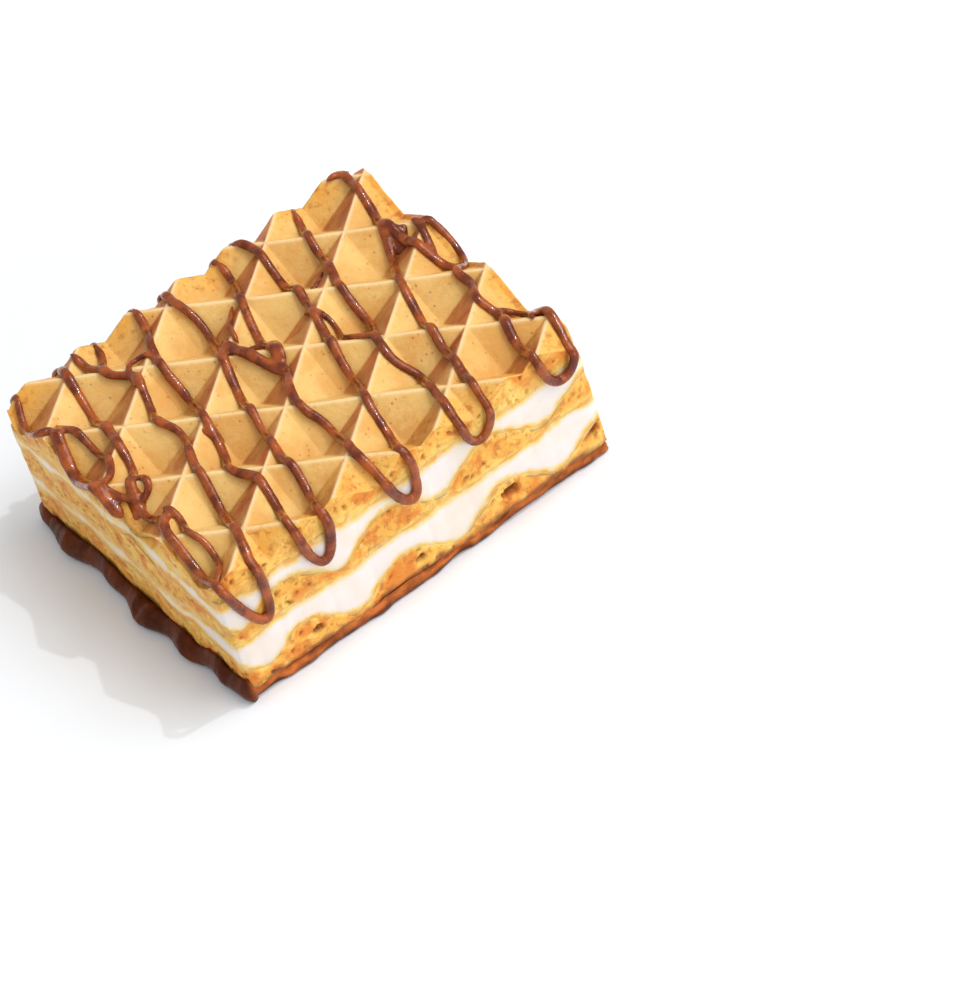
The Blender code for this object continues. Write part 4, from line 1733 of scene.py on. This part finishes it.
class Finish:
    """A material being put together around one Principled shader."""

    def __init__(self, name: str, effects: dict[Effect, bpy.types.NodeTree]) -> None:
        """Starts a finish.

        Args:
            name: The material's name.
            effects: The shared effects.
        """
        self.material = bpy.data.materials.new(name)
        self.material.use_nodes = True
        self.tree = self.material.node_tree
        self.shader = self.tree.nodes["Principled BSDF"]
        self.effects = effects

    def node(self, kind: str, settings: dict | None = None, **links: object) -> bpy.types.Node:
        """Places a node; see place_node."""
        return place_node(self.tree, kind, settings, **links)

    def effect(self, effect: Effect, output: str, **values: float) -> bpy.types.NodeSocket:
        """Places a shared effect.

        Args:
            effect: Which one.
            output: The output to read.
            **values: Its inputs by name.

        Returns:
            The output's socket.
        """
        node = self.tree.nodes.new("ShaderNodeGroup")
        node.node_tree = self.effects[effect]
        for name, value in values.items():
            node.inputs[name].default_value = value
        return node.outputs[output]

    def mask(self, name: str) -> bpy.types.NodeSocket:
        """Reads a mask that the mesh carries."""
        return self.node("Attribute", {"attribute_name": name}).outputs["Fac"]

    def mix(self, share: object, first: object, second: object) -> bpy.types.NodeSocket:
        """Mixes two colours, with the given share of the second."""
        return self.node("Mix", {"data_type": "RGBA"}, i_0=share, i_6=first, i_7=second).outputs[2]

    def times(self, first: object, second: object) -> bpy.types.NodeSocket:
        """Multiplies two numbers."""
        return self.node("Math", {"operation": "MULTIPLY"}, i_0=first, i_1=second).outputs[0]

    def ramp(self, value: bpy.types.NodeSocket, low: float, high: float) -> bpy.types.NodeSocket:
        """Maps 0 to 1 onto low to high."""
        return self.node("MapRange", Value=value, To_Min=low, To_Max=high).outputs["Result"]

    def eased(self, value: bpy.types.NodeSocket, low: float, high: float = 1.0) -> bpy.types.NodeSocket:
        """Maps low to high onto 0 to 1, with soft ends."""
        soft = {"interpolation_type": "SMOOTHSTEP"}
        return self.node("MapRange", soft, Value=value, From_Min=low, From_Max=high).outputs["Result"]

    def blotches(self, scale: float, low: float, high: float) -> bpy.types.NodeSocket:
        """Reads baked blotches: how small they are, and where they begin and end."""
        return self.effect(Effect.MOTTLE, "Mask", Scale=scale, Low=low, High=high)

    def scatter(self, weight: float, radius: tuple[float, float, float], depth: float) -> None:
        """Lets light into the surface: how much, how far in each colour, and how deep in millimetres."""
        self.set("Subsurface Weight", weight)
        self.set("Subsurface Radius", radius)
        self.set("Subsurface Scale", depth * MM)

    def relief(
        self, height: bpy.types.NodeSocket, depth: float, below: bpy.types.NodeSocket | None = None
    ) -> bpy.types.NodeSocket:
        """Lays a fine relief over the surface.

        Args:
            height: Its height, 0 to 1.
            depth: Its depth in millimetres.
            below: A relief that it lies on.

        Returns:
            The normal's socket.
        """
        node = self.node("Bump", Height=height, Distance=depth * MM, Strength=1.0)
        if below is not None:
            self.tree.links.new(below, node.inputs["Normal"])
        return node.outputs["Normal"]

    def set(self, name: str, value: object) -> None:
        """Sets or links one input of the shader."""
        if isinstance(value, bpy.types.NodeSocket):
            self.tree.links.new(value, self.shader.inputs[name])
        else:
            self.shader.inputs[name].default_value = value


@dataclass(frozen=True)
class WaferFinish:
    """Baked wafer: golden skin, pale ridges partly lit by a painted highlight, chocolate with painted shade
    on the walls that face away from the light, toasted and porous cuts with painted shade in their holes, and
    cream wiped over their edges.
    """

    name: str
    skin_light: tuple = linear(240, 200, 122)
    skin_dark: tuple = linear(226, 170, 90)
    # Pale ridge crests: partly their own colour, partly a painted highlight.
    ridge: tuple = linear(248, 220, 172)
    rim: tuple = linear(238, 182, 84)
    cut_pale: tuple = linear(249, 208, 108)
    cut_gold: tuple = linear(240, 170, 60)
    cut_orange: tuple = linear(226, 126, 32)
    cut_brown: tuple = linear(190, 98, 26)
    # Dark brown for pores, pits and the crack: painted shade in the holes.
    pore: tuple = linear(132, 58, 18)
    speck: tuple = linear(150, 88, 38)
    chocolate: tuple = linear(122, 56, 26)
    # Chocolate with painted shade, for the walls that face away from the light.
    film_and_shade: tuple = linear(188, 90, 30)
    film_and_shade_deep: tuple = linear(152, 64, 20)

    def make(self, effects: dict[Effect, bpy.types.NodeTree]) -> bpy.types.Material:
        """Makes the material.

        Args:
            effects: The shared effects.

        Returns:
            The material.
        """
        made = Finish(self.name, effects)
        blotch = made.blotches(170.0, 0.36, 0.66)
        grain = made.blotches(1500.0, 0.3, 0.75)
        toast = made.blotches(400.0, 0.44, 0.62)
        burnt = made.blotches(1100.0, 0.48, 0.7)
        bleached = made.blotches(360.0, 0.44, 0.62)
        rim = made.mask("rim")
        skin = made.mix(blotch, self.skin_light, self.skin_dark)
        skin = made.mix(made.times(grain, 0.22), skin, self.cut_gold)
        skin = made.mix(made.times(rim, 0.8), skin, made.mix(toast, self.rim, self.cut_gold))
        skin = made.mix(made.times(rim, made.times(burnt, 0.7)), skin, self.cut_brown)
        specks = made.effect(Effect.SPECKS, "Mask", Scale=1500.0, Size=0.34, Share=0.42)
        specks = made.times(specks, made.blotches(330.0, 0.42, 0.58))
        skin = made.mix(made.times(specks, 0.55), skin, self.speck)
        # Lightens the ridge crests: partly their own colour, partly a painted highlight.
        skin = made.mix(made.times(made.mask("ridge"), 0.6), skin, self.ridge)
        # Darkens the skin's pinholes with the speck colour: painted shade in them.
        skin = made.mix(made.times(made.mask("pore"), 0.4), skin, self.speck)
        # Paints chocolate and shade onto the walls that face away from the light.
        film_and_shade = made.times(made.mask("film_and_shade"), made.ramp(toast, 0.85, 1.0))
        skin = made.mix(film_and_shade, skin, made.mix(blotch, self.film_and_shade, self.film_and_shade_deep))

        baked = made.mask("baked")
        cut = made.mix(made.ramp(baked, 0.1, 0.8), self.cut_pale, self.cut_gold)
        cut = made.mix(made.times(bleached, 0.75), cut, self.cut_pale)
        cut = made.mix(made.times(toast, made.ramp(baked, 0.4, 0.82)), cut, self.cut_orange)
        torn = made.times(made.mask("torn"), made.ramp(toast, 0.4, 0.9))
        cut = made.mix(torn, cut, self.cut_orange)
        cut = made.mix(made.times(burnt, made.ramp(baked, 0.35, 0.75)), cut, self.cut_brown)
        # Darkens the pores, pits and the crack: painted shade in the holes.
        cut = made.mix(made.times(made.mask("pore"), made.ramp(baked, 0.5, 0.85)), cut, self.pore)
        cut = made.mix(made.mask("crack"), cut, self.pore)
        cut = made.mix(made.times(made.mask("smear"), made.ramp(toast, 1.0, 0.55)), cut, self.cut_pale)
        cut = made.mix(made.times(made.mask("stain"), 0.85), cut, self.chocolate)

        colour = made.mix(made.mask("cut"), skin, cut)
        made.set("Base Color", colour)
        made.set("Roughness", made.ramp(grain, 0.5, 0.66))
        fine = made.relief(grain, 0.035)
        made.set("Normal", made.relief(specks, -0.05, fine))
        made.scatter(0.22, (1.0, 0.6, 0.3), 0.9)
        made.set("Specular IOR Level", 0.4)
        return made.material


@dataclass(frozen=True)
class CreamFinish:
    """Soft white cream filling, a little yellow where it meets the wafer."""

    name: str = "white_cream"
    body: tuple = linear(241, 230, 226)
    shade: tuple = linear(240, 225, 210)
    crumb: tuple = linear(252, 206, 104)
    gold: tuple = linear(240, 158, 46)

    def make(self, effects: dict[Effect, bpy.types.NodeTree]) -> bpy.types.Material:
        """Makes the material.

        Args:
            effects: The shared effects.

        Returns:
            The material.
        """
        made = Finish(self.name, effects)
        soft = made.blotches(260.0, 0.35, 0.7)
        colour = made.mix(soft, self.body, self.shade)
        crumb = made.mask("crumb")
        fleck = made.blotches(900.0, 0.36, 0.6)
        toast = made.blotches(420.0, 0.3, 0.6)
        fringe = made.times(made.eased(crumb, 0.1, 0.8), made.ramp(fleck, 0.55, 1.0))
        colour = made.mix(fringe, colour, self.crumb)
        strong = made.times(made.eased(crumb, 0.7), made.ramp(toast, 0.1, 0.85))
        colour = made.mix(strong, colour, self.gold)
        made.set("Base Color", colour)
        made.set("Roughness", made.ramp(soft, 0.42, 0.55))
        made.set("Normal", made.relief(made.effect(Effect.FLOW, "Share", Scale=500.0), 0.03))
        made.scatter(0.5, (1.0, 0.9, 0.75), 1.4)
        return made.material


@dataclass(frozen=True)
class ChocolateFinish:
    """Set milk chocolate, glossy where it was poured."""

    name: str
    body: tuple = linear(101, 34, 5)
    pale: tuple = linear(174, 86, 29)
    # Lighter brown for the base coat's front band: partly thin chocolate over the wafer, partly painted light
    # on the lit front.
    lit_thin_coat: tuple = linear(208, 116, 54)
    gloss: float = 0.06
    matt: float = 0.17
    shine: float = 0.44

    def make(self, effects: dict[Effect, bpy.types.NodeTree]) -> bpy.types.Material:
        """Makes the material.

        Args:
            effects: The shared effects.

        Returns:
            The material.
        """
        made = Finish(self.name, effects)
        tone = made.blotches(420.0, 0.34, 0.68)
        colour = made.mix(tone, self.body, self.pale)
        # Lightens the base coat's front band: partly thin chocolate, partly painted light.
        thin = made.blotches(380.0, 0.36, 0.62)
        thin = made.times(made.mask("thin"), made.ramp(thin, 0.4, 1.0))
        colour = made.mix(thin, colour, self.lit_thin_coat)
        made.set("Base Color", colour)
        grain = made.effect(Effect.FLOW, "Share", Scale=300.0)
        made.set("Roughness", made.ramp(grain, self.gloss, self.matt))
        swells = made.relief(made.effect(Effect.FLOW, "Height", Scale=620.0), 0.14)
        made.set("Normal", made.relief(made.effect(Effect.FLOW, "Height", Scale=2100.0), 0.03, swells))
        made.scatter(0.1, (1.0, 0.4, 0.2), 0.6)
        made.set("Specular IOR Level", self.shine)
        return made.material


@dataclass(frozen=True)
class StudioLight:
    """A soft rectangular light: how bright, how big, how far, and from which side and height."""

    name: str
    watts: float
    size: float
    distance: float
    bearing: float
    elevation: float
    colour: tuple = (1.0, 1.0, 1.0)


@dataclass(frozen=True)
class Studio:
    """The floor, the lights and the camera."""

    camera_at: tuple[float, float, float] = (-176.98, -457.71, 441.88)
    heading: float = 23.09
    looking_down: float = 42.58
    roll: float = -19.05
    focal_length: float = 220.2
    sensor_width: float = 36.0
    clip: tuple[float, float] = (0.01, 20.0)
    aim: tuple[float, float, float] = (0.0, 0.0, 10.0)
    floor_half: float = 3000.0
    floor_drop: float = 0.02
    world_strength: float = 0.6
    lights: tuple[StudioLight, ...] = (
        StudioLight("key_light", 4.2, 680.0, 900.0, 60.0, 55.0),
        StudioLight("spark_light", 1.25, 16.0, 900.0, 68.0, 60.0),
        StudioLight("front_fill", 3.2, 600.0, 1240.0, 18.0, 14.0),
    )

    def place_camera(self) -> None:
        """Places the camera, turned about its own axis, and makes it the scene's."""
        turn, tilt, roll = (math.radians(v) for v in (self.heading, self.looking_down, self.roll))
        ahead = Vector((math.sin(turn) * math.cos(tilt), math.cos(turn) * math.cos(tilt), -math.sin(tilt)))
        level = Vector((math.cos(turn), -math.sin(turn), 0.0))
        right = level * math.cos(roll) + level.cross(ahead) * math.sin(roll)
        up = right.cross(ahead)
        data = bpy.data.cameras.new("camera")
        data.lens = self.focal_length
        data.sensor_width = self.sensor_width
        data.clip_start, data.clip_end = self.clip
        camera = bpy.data.objects.new("camera", data)
        bpy.context.scene.collection.objects.link(camera)
        turned = Matrix((right, up, -ahead)).transposed().to_4x4()
        camera.matrix_world = Matrix.Translation(Vector(self.camera_at) * MM) @ turned
        bpy.context.scene.camera = camera

    def place_floor(self, material: bpy.types.Material) -> None:
        """Lays a plain pale floor.

        Args:
            material: Its finish.
        """
        half = self.floor_half * MM
        mesh = bpy.data.meshes.new("floor")
        corners = [(-half, -half, 0.0), (half, -half, 0.0), (half, half, 0.0), (-half, half, 0.0)]
        mesh.from_pydata(corners, [], [(0, 1, 2, 3)])
        mesh.materials.append(material)
        floor = bpy.data.objects.new("floor", mesh)
        floor.location.z = -self.floor_drop * MM
        bpy.context.scene.collection.objects.link(floor)

    def place_lights(self) -> None:
        """Hangs the lights and sets the pale surroundings."""
        for light in self.lights:
            data = bpy.data.lights.new(light.name, "AREA")
            data.energy = light.watts
            data.size = light.size * MM
            data.color = light.colour
            turn, lift = math.radians(light.bearing), math.radians(light.elevation)
            way = Vector((math.sin(turn) * math.cos(lift), -math.cos(turn) * math.cos(lift), math.sin(lift)))
            lamp = bpy.data.objects.new(light.name, data)
            lamp.location = (Vector(self.aim) + way * light.distance) * MM
            lamp.rotation_mode = "QUATERNION"
            lamp.rotation_quaternion = (-way).to_track_quat("-Z", "Y")
            bpy.context.scene.collection.objects.link(lamp)
        world = bpy.data.worlds.new("studio")
        world.use_nodes = True
        background = world.node_tree.nodes["Background"]
        background.inputs["Color"].default_value = (1.0, 1.0, 1.0, 1.0)
        background.inputs["Strength"].default_value = self.world_strength
        bpy.context.scene.world = world
        bpy.context.scene.view_settings.view_transform = "Standard"


def floor_finish() -> bpy.types.Material:
    """Makes the floor's plain pale finish.

    Returns:
        The material.
    """
    material = bpy.data.materials.new("plain_floor")
    material.use_nodes = True
    shader = material.node_tree.nodes["Principled BSDF"]
    shader.inputs["Base Color"].default_value = (0.93, 0.965, 1.0, 1.0)
    shader.inputs["Roughness"].default_value = 1.0
    return material


def main() -> None:
    """Builds the pieces in order, dresses them, and sets up the studio."""
    logging.basicConfig(level=logging.INFO, format="%(message)s")
    effects = {
        Effect.MOTTLE: mottle_group(),
        Effect.SPECKS: specks_group(),
        Effect.FLOW: flow_group(),
    }
    wafer = WaferFinish("baked_wafer").make(effects)
    cream = CreamFinish().make(effects)
    poured = ChocolateFinish("drizzle_chocolate").make(effects)
    # The base coat's darker chocolate is partly painted shade for the left feet, which stand in shade.
    coat = ChocolateFinish(
        "base_chocolate", linear(76, 32, 12), linear(108, 50, 21), gloss=0.2, matt=0.42, shine=0.1
    ).make(effects)

    flake = Flake()
    pits = (
        Pit(-14.8, 3.6, 0.9, 0.5, 1.1),
        Pit(-1.0, 3.5, 0.7, 0.5, 1.0),
        Pit(11.4, 3.9, 1.3, 0.75, 1.5),
        Pit(22.6, 4.3, 1.2, 0.8, 1.3),
    )
    top = WaferSheet(
        "wafer_sheet_top", "wafer_top", TOP, CutFace(110), Outline(100, corner=0.9), flake, full_top=True
    )
    middle = WaferSheet("wafer_sheet_middle", "wafer_middle", MIDDLE, CutFace(140), flake=flake)
    bottom = WaferSheet(
        "wafer_sheet_bottom", "wafer_bottom", BOTTOM, CutFace(170, pits=pits), cream_below=False
    )
    for sheet in (top, middle, bottom):
        register(sheet.build(), sheet.node, wafer)

    upper = CreamLayer("cream_fill_upper", "cream_upper", MIDDLE, TOP, 210, flake=flake)
    lower = CreamLayer("cream_fill_lower", "cream_lower", BOTTOM, MIDDLE, 240)
    for layer in (upper, lower):
        register(layer.build(), layer.node, cream)

    base = BaseCoat()
    register(base.build(), base.node, coat)
    drizzle = Drizzle()
    register(drizzle.build(), drizzle.node, poured)

    studio = Studio()
    studio.place_camera()
    studio.place_floor(floor_finish())
    studio.place_lights()


if __name__ == "__main__":
    main()
